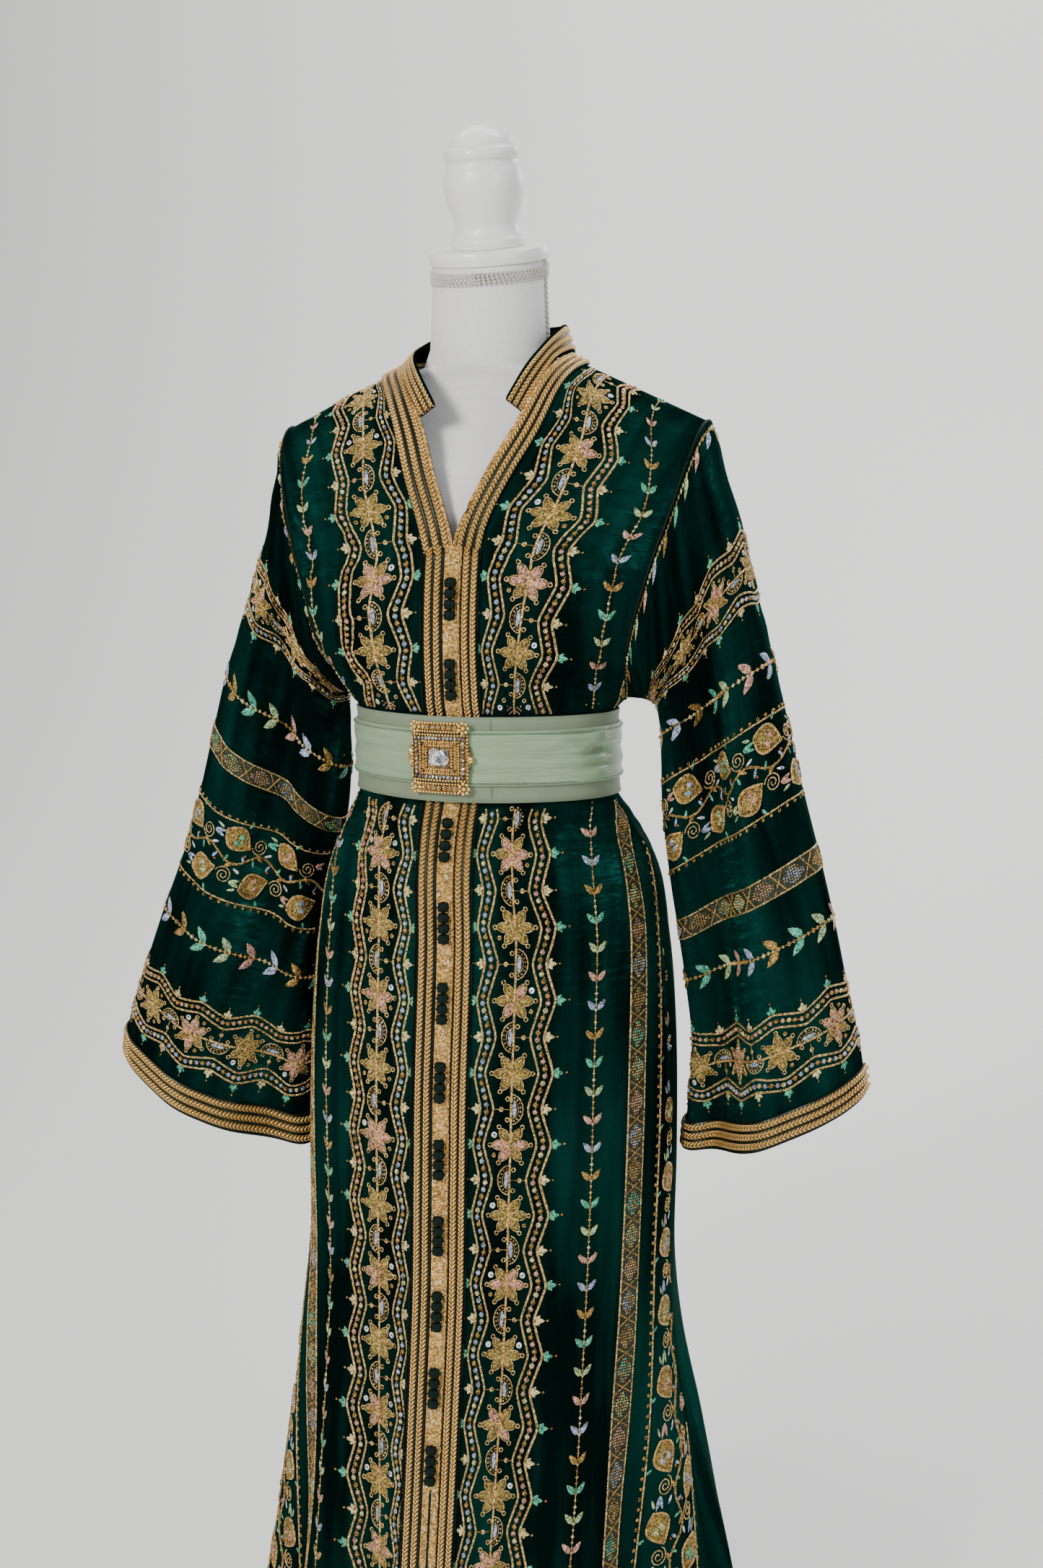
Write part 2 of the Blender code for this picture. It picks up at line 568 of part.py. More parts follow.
# Pieces of the garment
def panels():
    columns = np.linspace(0, 1, FRONT_COLUMNS + 1)
    for side, name in ((-1, "front_right"), (1, "front_left")):
        grid = front_grid(side, columns)
        normals = side_seam_normals(grid, [-1])
        normals[-1, :, 1] = 0.0
        normals[: len(SKIRT_ROWS) + YOKE_ROWS.index(V_SHARE), 0, 0] = 0.0
        wall(name, grid, "satin", normals=unit(normals))
    across = np.array([-s for s in BACK_SHARES[:0:-1]] + list(BACK_SHARES))
    grid = back_grid(across)
    normals = side_seam_normals(grid, [0, -1])
    normals[-1, np.abs(across) >= NECK_SHARE, 1] = 0.0
    wall("back", grid, "satin", normals=unit(normals))


def side_seam_normals(grid, edges):
    """A panel's normals, turned into the plane of the side seam along its side edges."""
    normals = grid_normals(grid, False)
    normals[: len(SKIRT_ROWS) + 1, edges, 1] = 0.0
    return normals


def unit(vectors):
    return vectors / (np.linalg.norm(vectors, axis=-1, keepdims=True) + 1e-12)


def sleeves():
    turns = armhole_turns()
    for side, name in ((-1, "sleeve_right"), (1, "sleeve_left")):
        grid = sleeve_grid(side, turns)
        normals = grid_normals(grid, True)
        normals[0, :, 0] = 0.0
        normals = unit(normals)
        wall(name, grid, "satin", closed=True, normals=normals)
        end, turned_out = (between_rows(v[-3:], (0.0, 1.0, 1.8)) for v in (grid, normals))
        wall(f"{name}_lining", end, "lining", low=-CLOTH - LINING_GAP - LINING, high=-CLOTH - LINING_GAP,
             closed=True, normals=turned_out)
        hem, turned_out = (between_rows(v[-2:], (0.50, 0.98)) for v in (grid, normals))
        places, heights = cord_profile(0.0262, 3, 0.0020, 0.0026)
        sections = [section(hem[:, c], turned_out[:, c], places, heights, 0.0013) for c in range(len(turns))]
        ribbed_strip(f"{name}_hem_braid", sections, "gold_cord", closed=True)


def armhole_turns():
    """Turns round the sleeve that meet the yoke's rows at the armhole seam, front first."""
    down = [math.acos(2 * share - 1) for share in YOKE_ROWS[::-1]]
    return np.array(down + [2 * math.pi - turn for turn in down[-2:0:-1]])


def between_rows(rows, places):
    """Rows read between those given, at fractional row numbers, along straight lines."""
    result = []
    for place in places:
        low = min(int(place), len(rows) - 2)
        result.append(rows[low] + (rows[low + 1] - rows[low]) * (place - low))
    return np.array(result)


def line_on_front(offset, rows, yoke_rows):
    """Points of the front surface at an offset across from the centre line, up to the V point."""
    points = []
    for height in rows:
        centre = float(column(CENTRE_LINE, CENTRE_LINE_COLUMNS, "across", height))
        shift = float(column(GIRTH, GIRTH_COLUMNS, "shift", height))
        half = float(column(GIRTH, GIRTH_COLUMNS, "half_width", height))
        angle = math.degrees(math.asin((centre + offset - shift) / half))
        points.append(ring_point(np.array([angle]), np.array([height]))[0])
    for share in yoke_rows:
        side = 1 if offset > 0 else -1
        start = float(neck_edge(side, share, "x"))
        arm = float(column(YOKE, YOKE_COLUMNS, f"arm_x_{WEARERS_SIDE[side]}", share))
        across = np.array([offset / (arm - start)])
        points.append(yoke_point(side, across, np.array([share]))[0])
    grid = np.array(points)
    grid[:, 1] -= SEAM * 0.6
    return grid


def line_normals(left, right):
    """Normals along two lines that bound a strip, pointing away from the body's axis."""
    across = right - left
    result = []
    for line in (left, right):
        up = np.gradient(line, axis=0)
        normal = np.cross(across, up)
        normal /= np.linalg.norm(normal, axis=1, keepdims=True)
        result.append(np.where((normal[:, 1:2] > 0), -normal, normal))
    return result


def placket():
    yoke_rows = [s for s in YOKE_ROWS if s < V_SHARE] + [PLACKET_TOP]
    strips = (
        ("placket_braid_right", -PLACKET_EDGE, BAND_LEFT - SEAM, 2, 0.0022, 0.0030, "gold_cord"),
        ("button_band", BAND_LEFT, BAND_RIGHT, 0, 0.0, 0.0, "gold_cord"),
        ("placket_braid_left", BAND_RIGHT + SEAM, PLACKET_EDGE, 2, 0.0016, 0.0022, "gold_cord"),
    )
    for name, start, end, cords, lead, gap, material in strips:
        left = line_on_front(start, SKIRT_ROWS, yoke_rows)
        right = line_on_front(end, SKIRT_ROWS, yoke_rows)
        normals = line_normals(left, right)
        places, heights = cord_profile(end - start, cords, lead, gap)
        if not cords:
            places, heights = np.array([0.0, 0.0022, 0.0140, 0.0162]), np.array([0.0, 0.0012, 0.0012, 0.0])
        sections = [
            section((left[r], right[r]), (normals[0][r], normals[1][r]), places, heights)
            for r in range(len(left))
        ]
        ribbed_strip(name, sections, material)


def neckline_grid(places):
    """The surface under the neckline braid, from the V point up the wearer's right side, round the back
    and down the left side: one row for each station, one column for each place across the braid."""
    shares = [s for s in YOKE_ROWS if s >= 0.46]
    share_across = places / places[-1]
    sides = {}
    for side, name in ((-1, "right"), (1, "left")):
        rows = []
        for share in shares:
            start = float(neck_edge(side, share, "x"))
            arm = float(column(YOKE, YOKE_COLUMNS, f"arm_x_{WEARERS_SIDE[side]}", share))
            width = NECK_BRAID_WIDTH * (1.06 - 0.26 * float(ease((share - 0.75) / 0.25)))
            across = 0.006 + width / abs(arm - start) * share_across
            rows.append(yoke_point(side, across, np.full(len(places), share)))
        sides[name] = rows
    back = []
    inner = BACK_SHARES[1:4]
    for near in [-s for s in inner[::-1]] + [0.0] + list(inner):
        swing = math.pi / 2 * (1 - abs(near) / NECK_SHARE)
        across = near * (1 + 0.25 * share_across * abs(near) / NECK_SHARE)
        share = 1 - 0.115 * share_across * math.sin(swing)
        back.append(back_point(across, share))
    return np.array(sides["right"] + back + sides["left"][::-1])


def neckline():
    places, heights = cord_profile(NECK_BRAID_WIDTH, 3, 0.0026, 0.0022)
    grid = neckline_grid(places)
    normals = np.cross(np.gradient(grid, axis=1), np.gradient(grid, axis=0))
    for _ in range(2):
        normals[1:-1] = unit(normals)[:-2] + 2 * unit(normals)[1:-1] + unit(normals)[2:]
    normals = unit(normals)
    middle = np.array([0.0, 0.0, 1.38])
    normals = normals if (normals * (grid - middle)).sum() > 0 else -normals
    lift = np.full((len(grid), 1), NECK_BRAID_LIFT)
    front = sum(share >= V_SHARE for share in YOKE_ROWS)
    lift[front:-front] = NECK_BRAID_LIFT_AT_BACK
    top = grid + normals * (lift + BRAID_BASE + heights)[..., None]
    under = (grid + normals * lift[..., None])[:, [-1, 7, 5, 3, 0]]
    ribbed_strip("neckline_braid", np.concatenate([top, under], axis=1), "gold_cord")


def collar():
    shares = np.linspace(0, 1, 23)
    seam = np.stack([column(COLLAR, COLLAR_COLUMNS, f"seam_{k}", shares) for k in "xyz"], axis=-1)
    edge = np.stack([column(COLLAR, COLLAR_COLUMNS, f"edge_{k}", shares) for k in "xyz"], axis=-1)
    seam[:, 2] += 0.0032
    across = edge - seam
    normals = np.cross(across, np.gradient(seam, axis=0))
    normals /= np.linalg.norm(normals, axis=1, keepdims=True)
    outward = (normals[:, :2] * (seam[:, :2] - np.array([0.003, 0.0]))).sum()
    normals = normals if outward > 0 else -normals
    for _ in range(2):
        normals[1:-1] = normals[:-2] + 2 * normals[1:-1] + normals[2:]
        normals = unit(normals)
    places, heights = cord_profile(0.0235, 3, 0.0014, 0.0016)
    sections = []
    for r in range(len(shares)):
        share = (places / places[-1])[:, None]
        base = seam[r] + across[r] * share
        top = base + normals[r] * (CLOTH + heights)[:, None]
        sections.append(np.concatenate([top, [edge[r], (edge[r] + seam[r]) / 2, seam[r]]]))
    ribbed_strip("collar", sections, "gold_cord")


def knot_group(name, top):
    """Four round knots in a row, pressed together, as one turned and flattened body on the button band."""
    sides = 6
    stations = [(0.0, 0.34)]
    for knot in range(KNOTS_IN_GROUP):
        stations += [(knot + 0.5, 1.0), (knot + 1.0, 0.60)]
    stations[-1] = (KNOTS_IN_GROUP, 0.34)
    middle = (BAND_LEFT + BAND_RIGHT) / 2
    spine = [front_surface(middle, top - place * KNOT_PITCH) for place, _ in stations]
    rounds = []
    for (place, radius), centre in zip(stations, spine):
        wide, deep = radius * KNOT_WIDTH / 2, radius * 0.0034
        ring = []
        for k in range(sides):
            turn = 2 * math.pi * k / sides
            ring.append(centre + np.array([wide * math.sin(turn), -deep * math.cos(turn), 0.0]))
        rounds.append(ring)
    ribbed_strip(name, rounds, "knot_silk")


def front_surface(offset, height):
    """A point over the button band: the front surface, out by the band and half a knot."""
    line = line_on_front(offset, SKIRT_ROWS, [s for s in YOKE_ROWS if s <= 0.46])
    point = np.array([np.interp(height, line[:, 2], line[:, k]) for k in range(3)])
    point[1] -= BRAID_LIFT + BRAID_BASE + 0.0012 + 0.0034 + 0.0006
    return point


def buttons():
    for group in range(BUTTON_GROUPS):
        top = FIRST_BUTTON_TOP - group * BUTTON_PITCH
        hidden = BELT_BOTTOM - 0.01 < top < BELT_TOP + 0.04
        if not hidden:
            knot_group(f"buttons_{group + 1:02d}", top)


# The belt
def belt_ring(angle, height, lift):
    """A ring round the waist, clear of the placket in front and close to the cloth elsewhere."""
    rows = np.array(SKIRT_ROWS[-3:])
    half, front, back, shift = (
        np.interp(height, rows, column(GIRTH, GIRTH_COLUMNS, n, rows)) for n in GIRTH_COLUMNS[1:]
    )
    out = BELT_GAP + lift + BELT_OVER_PLACKET * np.exp(-((angle / 26.0) ** 2))
    turn = np.radians(angle)
    deep = np.where(np.cos(turn) > 0, front, back)
    x = shift + (half + out) * np.sin(turn)
    y = -(deep + out) * np.cos(turn)
    return np.stack([x, y, np.broadcast_to(height, x.shape)], axis=-1)


def belt():
    angles = np.arange(BELT_SIDES) * 360.0 / BELT_SIDES - 180.0
    heights = (BELT_BOTTOM, SKIRT_ROWS[-2], BELT_TOP)
    band = np.array([belt_ring(angles, np.full(BELT_SIDES, z), 0.0) for z in heights])
    wall("belt_band", band, "belt_band", low=0.0, high=0.0018, closed=True)
    profile = ((1.0685, 0.0), (1.0730, 0.0022), (1.0810, 0.0008), (1.0900, 0.0026), (1.1000, 0.0010),
               (1.1120, 0.0027), (1.1240, 0.0022), (1.1275, 0.0))
    rounds = []
    for angle in angles:
        turn = np.array([angle])
        outer = [belt_ring(turn, np.array([z]), 0.0031 + fold)[0] for z, fold in profile]
        inner = [belt_ring(turn, np.array([z]), 0.0022)[0] for z in (profile[-1][0], profile[0][0])]
        rounds.append(outer + inner)
    ribbed_strip("belt_gathered_strip", rounds, "belt_satin", closed=True)


def buckle():
    """A plate bent to the belt, with nested raised rims round a seat for the stone."""
    rows = []
    lifts = []
    last = len(BUCKLE_ACROSS) - 1
    for r, up in enumerate(BUCKLE_UP):
        row, row_lifts = [], []
        for c, across in enumerate(BUCKLE_ACROSS):
            angle = BUCKLE_CENTRE_ANGLE + math.degrees(across / 0.150)
            row.append(belt_ring(np.array([angle]), np.array([BUCKLE_HEIGHT_CENTRE + up]), 0.0062)[0])
            ring = min(r, c, last - r, last - c)
            row_lifts.append(BUCKLE_RELIEF[ring])
        rows.append(row)
        lifts.append(row_lifts)
    grid = np.array(rows)
    wall("buckle", grid, "buckle_gold", low=0.0, high=np.array(lifts))
    centre_angle = BUCKLE_CENTRE_ANGLE
    seat = belt_ring(np.array([centre_angle]), np.array([BUCKLE_HEIGHT_CENTRE]), 0.0062 + 0.0014 + SEAM)
    stone(seat[0], centre_angle)


def stone(centre, angle):
    """A clear step-cut stone: a flat table, two sloping steps and a flat back."""
    steps = ((0.0, 1.0, 1.0), (0.34, 1.0, 1.0), (0.74, 0.84, 0.80), (1.0, 0.62, 0.54))
    turn = math.radians(angle)
    side = np.array([math.cos(turn), math.sin(turn), 0.0])
    out = np.array([math.sin(turn), -math.cos(turn), 0.0])
    rings = []
    for share, wide, high in steps:
        half_w, half_h = STONE_WIDTH / 2 * wide, STONE_HEIGHT / 2 * high
        cut_w, cut_h = half_w * 0.66, half_h * 0.60
        outline = ((-half_w, -cut_h), (-cut_w, -half_h), (cut_w, -half_h), (half_w, -cut_h),
                   (half_w, cut_h), (cut_w, half_h), (-cut_w, half_h), (-half_w, cut_h))
        base = centre + out * STONE_DEPTH * share
        rings.append([base + side * u + np.array([0.0, 0.0, v]) for u, v in outline])
    ribbed_strip("buckle_stone", rings, "crystal")


# The dress form and its stand
def form():
    turns = np.arange(FORM_SIDES) * 2 * math.pi / FORM_SIDES
    rings = []
    for row in FORM:
        height, half, front, back, shift = row
        if half is None:
            half, shift = shoulder_ring(height)
        deep = np.where(np.cos(turns) > 0, front, back)
        x, y = shift + half * np.sin(turns), -deep * np.cos(turns)
        slope = math.tan(PLATE_TILT) if height == NECK_TOP else 0.0
        rings.append(np.stack([x, y, height + slope * y], axis=-1))
    ribbed_strip("form_torso", rings, "form_linen")


def shoulder_ring(height):
    """Half width and shift of the form where it carries the garment's shoulder seams."""
    top = dict(zip(YOKE_COLUMNS, YOKE[-1]))
    ends = []
    for side in ("right", "left"):
        neck, tip = top[f"neck_x_{side}"], top[f"arm_x_{side}"]
        share = (top[f"neck_z_{side}"] - FORM_UNDER_SEAM - height) / (top[f"neck_z_{side}"] - TIP_HEIGHT)
        ends.append(neck + (tip - neck) * share)
    return (ends[1] - ends[0]) / 2, (ends[1] + ends[0]) / 2


def turned(name, profile, centre, material, sides, tilt=0.0):
    """A turned body from (height, radius) rows over a centre point, tilted forward about it."""
    rings = []
    for height, radius in profile:
        turns = np.arange(sides) * 2 * math.pi / sides
        local = np.stack([radius * np.cos(turns), radius * np.sin(turns), np.full(sides, height)], axis=-1)
        y = local[:, 1] * math.cos(tilt) - local[:, 2] * math.sin(tilt)
        z = local[:, 1] * math.sin(tilt) + local[:, 2] * math.cos(tilt)
        rings.append(np.stack([local[:, 0], y, z], axis=-1) + np.array(centre))
    return ribbed_strip(name, rings, material)


def stand_and_cap():
    plate = ((0.0, PLATE_RADIUS - 0.0015), (0.002, PLATE_RADIUS), (PLATE_HEIGHT - 0.003, PLATE_RADIUS),
             (PLATE_HEIGHT, PLATE_RADIUS - 0.003))
    seat = np.array([PLATE_CENTRE, 0.0, NECK_TOP])
    leaning = np.array([0.0, -math.sin(PLATE_TILT), math.cos(PLATE_TILT)])
    turned("neck_plate", plate, seat + leaning * SEAM, "painted_wood", 24, PLATE_TILT)
    turned("finial", FINIAL, seat + leaning * (PLATE_HEIGHT + 2 * SEAM), "painted_wood", 16, PLATE_TILT)
    foot = ((0.0, BASE_RADIUS), (BASE_THICKNESS - BASE_EDGE, BASE_RADIUS),
            (BASE_THICKNESS - 0.002, BASE_RADIUS - 0.002), (BASE_THICKNESS, BASE_RADIUS - BASE_EDGE))
    turned("stand_base", foot, (0.0, 0.0, 0.0), "stand_metal", 32)
    bottom, top = BASE_THICKNESS + SEAM, FORM[0][0] - SEAM
    collar_profile = ((0.0, 0.026), (0.018, 0.026), (0.022, POLE_RADIUS), (top - bottom, POLE_RADIUS))
    turned("stand_pole", collar_profile, (0.0, 0.0, bottom), "stand_metal", 16)


def main():
    for old in list(bpy.data.objects):
        bpy.data.objects.remove(old, do_unlink=True)
    MATERIALS.update(make_materials())
    panels()
    sleeves()
    placket()
    neckline()
    collar()
    buttons()
    belt()
    buckle()
    form()
    stand_and_cap()


MATERIALS = {}
main()
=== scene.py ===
"""The looks of a full-length satin kaftan on a limbless dress form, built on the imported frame."""
import math
from functools import lru_cache

import bmesh
import bpy
import numpy as np
from bpy.props import FloatProperty, FloatVectorProperty, PointerProperty
from mathutils import Matrix, Vector


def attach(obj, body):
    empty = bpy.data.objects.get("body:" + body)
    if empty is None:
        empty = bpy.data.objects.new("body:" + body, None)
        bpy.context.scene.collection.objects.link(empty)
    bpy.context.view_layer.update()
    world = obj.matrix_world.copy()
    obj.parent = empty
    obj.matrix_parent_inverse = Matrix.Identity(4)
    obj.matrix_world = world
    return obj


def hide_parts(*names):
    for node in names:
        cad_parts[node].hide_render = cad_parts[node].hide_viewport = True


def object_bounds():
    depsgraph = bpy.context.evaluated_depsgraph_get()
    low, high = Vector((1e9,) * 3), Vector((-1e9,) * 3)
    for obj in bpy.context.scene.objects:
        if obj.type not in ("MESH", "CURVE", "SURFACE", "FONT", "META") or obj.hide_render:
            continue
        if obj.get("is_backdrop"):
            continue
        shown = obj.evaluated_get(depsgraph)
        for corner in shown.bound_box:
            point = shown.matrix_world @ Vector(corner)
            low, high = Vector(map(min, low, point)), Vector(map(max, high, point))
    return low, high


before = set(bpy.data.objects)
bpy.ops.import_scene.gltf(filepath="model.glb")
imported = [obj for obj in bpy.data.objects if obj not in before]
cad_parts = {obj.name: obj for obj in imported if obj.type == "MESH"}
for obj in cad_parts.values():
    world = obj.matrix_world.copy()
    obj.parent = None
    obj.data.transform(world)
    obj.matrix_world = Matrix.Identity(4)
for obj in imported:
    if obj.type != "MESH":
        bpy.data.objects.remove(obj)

bl_info = {
    "name": "Embroidered Kaftan",
    "version": (1, 0, 0),
    "blender": (4, 5, 0),
    "location": "3D View > Sidebar > Kaftan",
    "description": "Satin, braid, beadwork and belt of a kaftan on its dress form",
    "category": "Object",
}

CAD_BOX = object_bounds()
BODY = "root"

# Driving sizes, in metres, as the solids have them
CLOTH, SEAM = 0.0016, 0.0003
UNDERARM_HEIGHT = 1.148
BELT_BOTTOM, BELT_TOP = 1.058, 1.136
BELT_ROWS = (1.055, 1.098, 1.136)
BELT_GAP, BELT_OVER_PLACKET = 0.0011, 0.0056
CORD_WIDTH, CORD_HEIGHT = 0.0058, 0.0022
BRAID_LIFT, BRAID_BASE = 0.0008, 0.0014
LINING_GAP, LINING = 0.0014, 0.0011
BUTTON_PITCH, FIRST_BUTTON_TOP, BUTTON_GROUPS = 0.0725, 1.262, 12
KNOTS_IN_GROUP, KNOT_PITCH, KNOT_WIDTH = 4, 0.0096, 0.0105
NECK_SHARE, V_SHARE = 0.388, 0.46
BUCKLE_CENTRE_ANGLE, BUCKLE_HEIGHT_CENTRE = -3.0, 1.099
STONE_WIDTH, STONE_HEIGHT, STONE_DEPTH = 0.0200, 0.0165, 0.0052

# How fine each piece is
FRONT_SPANS, BACK_SPANS, SLEEVE_SPANS = 68, 88, 80
SKIRT_STEP, YOKE_SPANS, SLEEVE_RINGS = 0.0090, 52, 84
# The body's girth below the arms: height, half width, front depth, back depth, shift towards the wearer's left
GIRTH_COLUMNS = "height half_width front back shift".split()
GIRTH = (
    (0.02, 0.266, 0.222, 0.240, 0.006),
    (0.14, 0.246, 0.204, 0.223, 0.007),
    (0.27, 0.226, 0.186, 0.204, 0.008),
    (0.34, 0.215, 0.176, 0.193, 0.008),
    (0.42, 0.204, 0.165, 0.181, 0.006),
    (0.51, 0.191, 0.155, 0.170, 0.003),
    (0.59, 0.183, 0.148, 0.162, 0.003),
    (0.71, 0.182, 0.146, 0.160, 0.004),
    (0.83, 0.178, 0.143, 0.156, 0.005),
    (0.92, 0.170, 0.135, 0.149, 0.005),
    (1.00, 0.155, 0.122, 0.134, 0.005),
    (1.035, 0.137, 0.107, 0.115, 0.002),
    (1.055, 0.1265, 0.0955, 0.1010, 0.000),
    (1.098, 0.1240, 0.0930, 0.0980, -0.001),
    (1.136, 0.1255, 0.0950, 0.0985, -0.001),
    (1.148, 0.1360, 0.1000, 0.1030, 0.000),
)

# The centre front line wanders a little as the garment hangs: height, place across
CENTRE_LINE_COLUMNS = "height across".split()
CENTRE_LINE = (
    (0.02, 0.000),
    (0.45, 0.001),
    (0.76, 0.005),
    (0.94, 0.006),
    (1.06, -0.001),
    (1.14, 0.002),
    (1.22, 0.004),
    (1.292, 0.010),
)

# Skirt folds: angle round the body in degrees from the front, half width in degrees, depth out (+) or in (-),
# the height where the fold starts and the height where it is full
FOLD_COLUMNS = "angle spread depth start full".split()
FOLDS = (
    (-18, 6, -0.011, 0.80, 0.08),
    (19, 6, -0.012, 0.78, 0.08),
    (-33, 9, 0.011, 0.85, 0.10),
    (34, 9, 0.013, 0.80, 0.10),
    (-52, 8, -0.016, 0.78, 0.06),
    (54, 8, -0.015, 0.74, 0.06),
    (-73, 9, 0.014, 0.72, 0.06),
    (74, 9, 0.013, 0.70, 0.06),
    (-94, 8, -0.016, 0.68, 0.06),
    (96, 8, -0.018, 0.66, 0.06),
    (-116, 10, 0.020, 0.75, 0.06),
    (118, 10, 0.022, 0.70, 0.06),
    (-138, 9, -0.018, 0.80, 0.06),
    (141, 9, -0.016, 0.84, 0.06),
    (-160, 9, 0.016, 0.85, 0.06),
    (162, 9, 0.015, 0.80, 0.06),
    (180, 8, -0.014, 0.90, 0.06),
)
GATHERS, GATHER_DEPTH, GATHER_FALL = 12, 0.0028, 0.11

# The yoke above the arms, by share of the way from underarm to shoulder: the neckline edge on each side, the
# armhole edge on each side, and the depth of chest and back before they round over the shoulder. Left and right
# are the wearer's
WEARERS_SIDE = {-1: "right", 1: "left"}
YOKE_COLUMNS = "share neck_z_left neck_x_left neck_z_right neck_x_right arm_z arm_x_left arm_x_right chest back".split()
YOKE = (
    (0.00, 1.148, 0.002, 1.148, 0.002, 1.148, 0.136, -0.136, 0.1000, 0.1030),
    (0.10, 1.180, 0.003, 1.180, 0.003, 1.170, 0.144, -0.144, 0.1060, 0.1070),
    (0.24, 1.224, 0.004, 1.224, 0.004, 1.206, 0.153, -0.154, 0.1090, 0.1050),
    (0.46, 1.290, 0.0075, 1.290, 0.0075, 1.268, 0.172, -0.170, 0.1120, 0.1050),
    (0.66, 1.352, 0.034, 1.350, -0.013, 1.320, 0.190, -0.184, 0.1100, 0.1040),
    (0.83, 1.403, 0.059, 1.400, -0.035, 1.365, 0.203, -0.194, 0.1060, 0.1020),
    (0.93, 1.439, 0.072, 1.434, -0.058, 1.388, 0.209, -0.197, 0.1030, 0.1000),
    (1.00, 1.459, 0.0810, 1.454, -0.0775, 1.400, 0.212, -0.199, 0.1000, 0.1000),
)
BACK_NECK_DEPTH, BACK_NECK_HEIGHT, TIP_HEIGHT = 0.062, 1.458, 1.400

# The sleeves, by share of the way from armhole to hem: the outer edge that hangs from the shoulder, the inner edge
# that hangs from the underarm, and how far the front and back of the tube stand from them
SLEEVE_ROW_COLUMNS = "share outer_x outer_z inner_x inner_z middle front back".split()
LEFT_SLEEVE = (
    (0.00, 0.2125, 1.401, 0.139, 1.150, 0.000, 0.058, 0.056),
    (0.08, 0.228, 1.356, 0.150, 1.149, 0.000, 0.056, 0.054),
    (0.16, 0.245, 1.300, 0.160, 1.147, 0.000, 0.052, 0.050),
    (0.25, 0.260, 1.246, 0.166, 1.140, 0.000, 0.048, 0.046),
    (0.35, 0.277, 1.187, 0.169, 1.112, 0.002, 0.045, 0.044),
    (0.44, 0.291, 1.132, 0.170, 1.052, 0.004, 0.044, 0.044),
    (0.54, 0.306, 1.070, 0.177, 0.985, 0.008, 0.046, 0.044),
    (0.64, 0.322, 1.010, 0.186, 0.928, 0.012, 0.050, 0.044),
    (0.74, 0.337, 0.949, 0.194, 0.876, 0.014, 0.054, 0.046),
    (0.84, 0.350, 0.888, 0.200, 0.818, 0.015, 0.058, 0.050),
    (0.94, 0.364, 0.826, 0.196, 0.753, 0.015, 0.061, 0.054),
    (1.00, 0.368, 0.792, 0.193, 0.716, 0.015, 0.062, 0.056),
)
RIGHT_SLEEVE = (
    (0.00, -0.1995, 1.399, -0.139, 1.150, 0.000, 0.058, 0.056),
    (0.08, -0.213, 1.350, -0.146, 1.149, 0.000, 0.056, 0.054),
    (0.16, -0.222, 1.301, -0.150, 1.147, 0.000, 0.052, 0.050),
    (0.27, -0.246, 1.231, -0.152, 1.135, 0.000, 0.048, 0.046),
    (0.38, -0.272, 1.162, -0.153, 1.066, 0.002, 0.046, 0.044),
    (0.46, -0.288, 1.110, -0.160, 1.012, 0.004, 0.046, 0.044),
    (0.56, -0.305, 1.046, -0.175, 0.980, 0.006, 0.048, 0.044),
    (0.66, -0.324, 0.983, -0.188, 0.915, 0.008, 0.052, 0.046),
    (0.75, -0.347, 0.924, -0.194, 0.848, 0.008, 0.056, 0.048),
    (0.85, -0.371, 0.860, -0.196, 0.784, 0.008, 0.058, 0.052),
    (0.94, -0.391, 0.803, -0.197, 0.720, 0.008, 0.060, 0.056),
    (1.00, -0.397, 0.769, -0.198, 0.677, 0.008, 0.061, 0.058),
)
# Sleeve folds run down the tube: share across from outer to inner edge at the armhole and at the hem, half width,
# depth in (-) or out (+), and 1 for the front of the tube or -1 for its back
SLEEVE_FOLD_COLUMNS = "top_across hem_across spread depth face".split()
LEFT_SLEEVE_FOLDS = (
    (0.42, 0.84, 0.17, -0.036, 1),
    (0.16, 0.50, 0.12, 0.006, 1),
    (0.30, 0.35, 0.10, -0.012, -1),
    (0.62, 0.72, 0.10, 0.010, -1),
)
RIGHT_SLEEVE_FOLDS = (
    (0.40, 0.86, 0.16, -0.028, 1),
    (0.18, 0.40, 0.12, 0.006, 1),
    (0.34, 0.40, 0.10, 0.010, -1),
    (0.66, 0.70, 0.10, -0.012, -1),
)
HEM_DROP_FRONT, HEM_DROP_BACK = 0.013, 0.024

# The standing collar: share of the way round from the wearer's right front corner to the left one, the seam that it
# stands on and its top edge
COLLAR_COLUMNS = "share seam_x seam_y seam_z edge_x edge_y edge_z".split()
COLLAR = (
    (0.00, -0.0350, -0.0765, 1.4010, -0.0190, -0.0830, 1.4130),
    (0.09, -0.0530, -0.0620, 1.4260, -0.0400, -0.0690, 1.4440),
    (0.18, -0.0680, -0.0360, 1.4445, -0.0545, -0.0430, 1.4600),
    (0.28, -0.0765, -0.0020, 1.4545, -0.0625, -0.0050, 1.4710),
    (0.39, -0.0610, 0.0400, 1.4590, -0.0540, 0.0375, 1.4840),
    (0.50, 0.0020, 0.0635, 1.4600, 0.0040, 0.0610, 1.4900),
    (0.61, 0.0650, 0.0400, 1.4620, 0.0600, 0.0375, 1.4900),
    (0.72, 0.0815, -0.0020, 1.4625, 0.0735, -0.0045, 1.4860),
    (0.82, 0.0760, -0.0350, 1.4520, 0.0700, -0.0420, 1.4690),
    (0.91, 0.0680, -0.0600, 1.4290, 0.0610, -0.0690, 1.4470),
    (1.00, 0.0600, -0.0765, 1.4040, 0.0480, -0.0840, 1.4175),
)

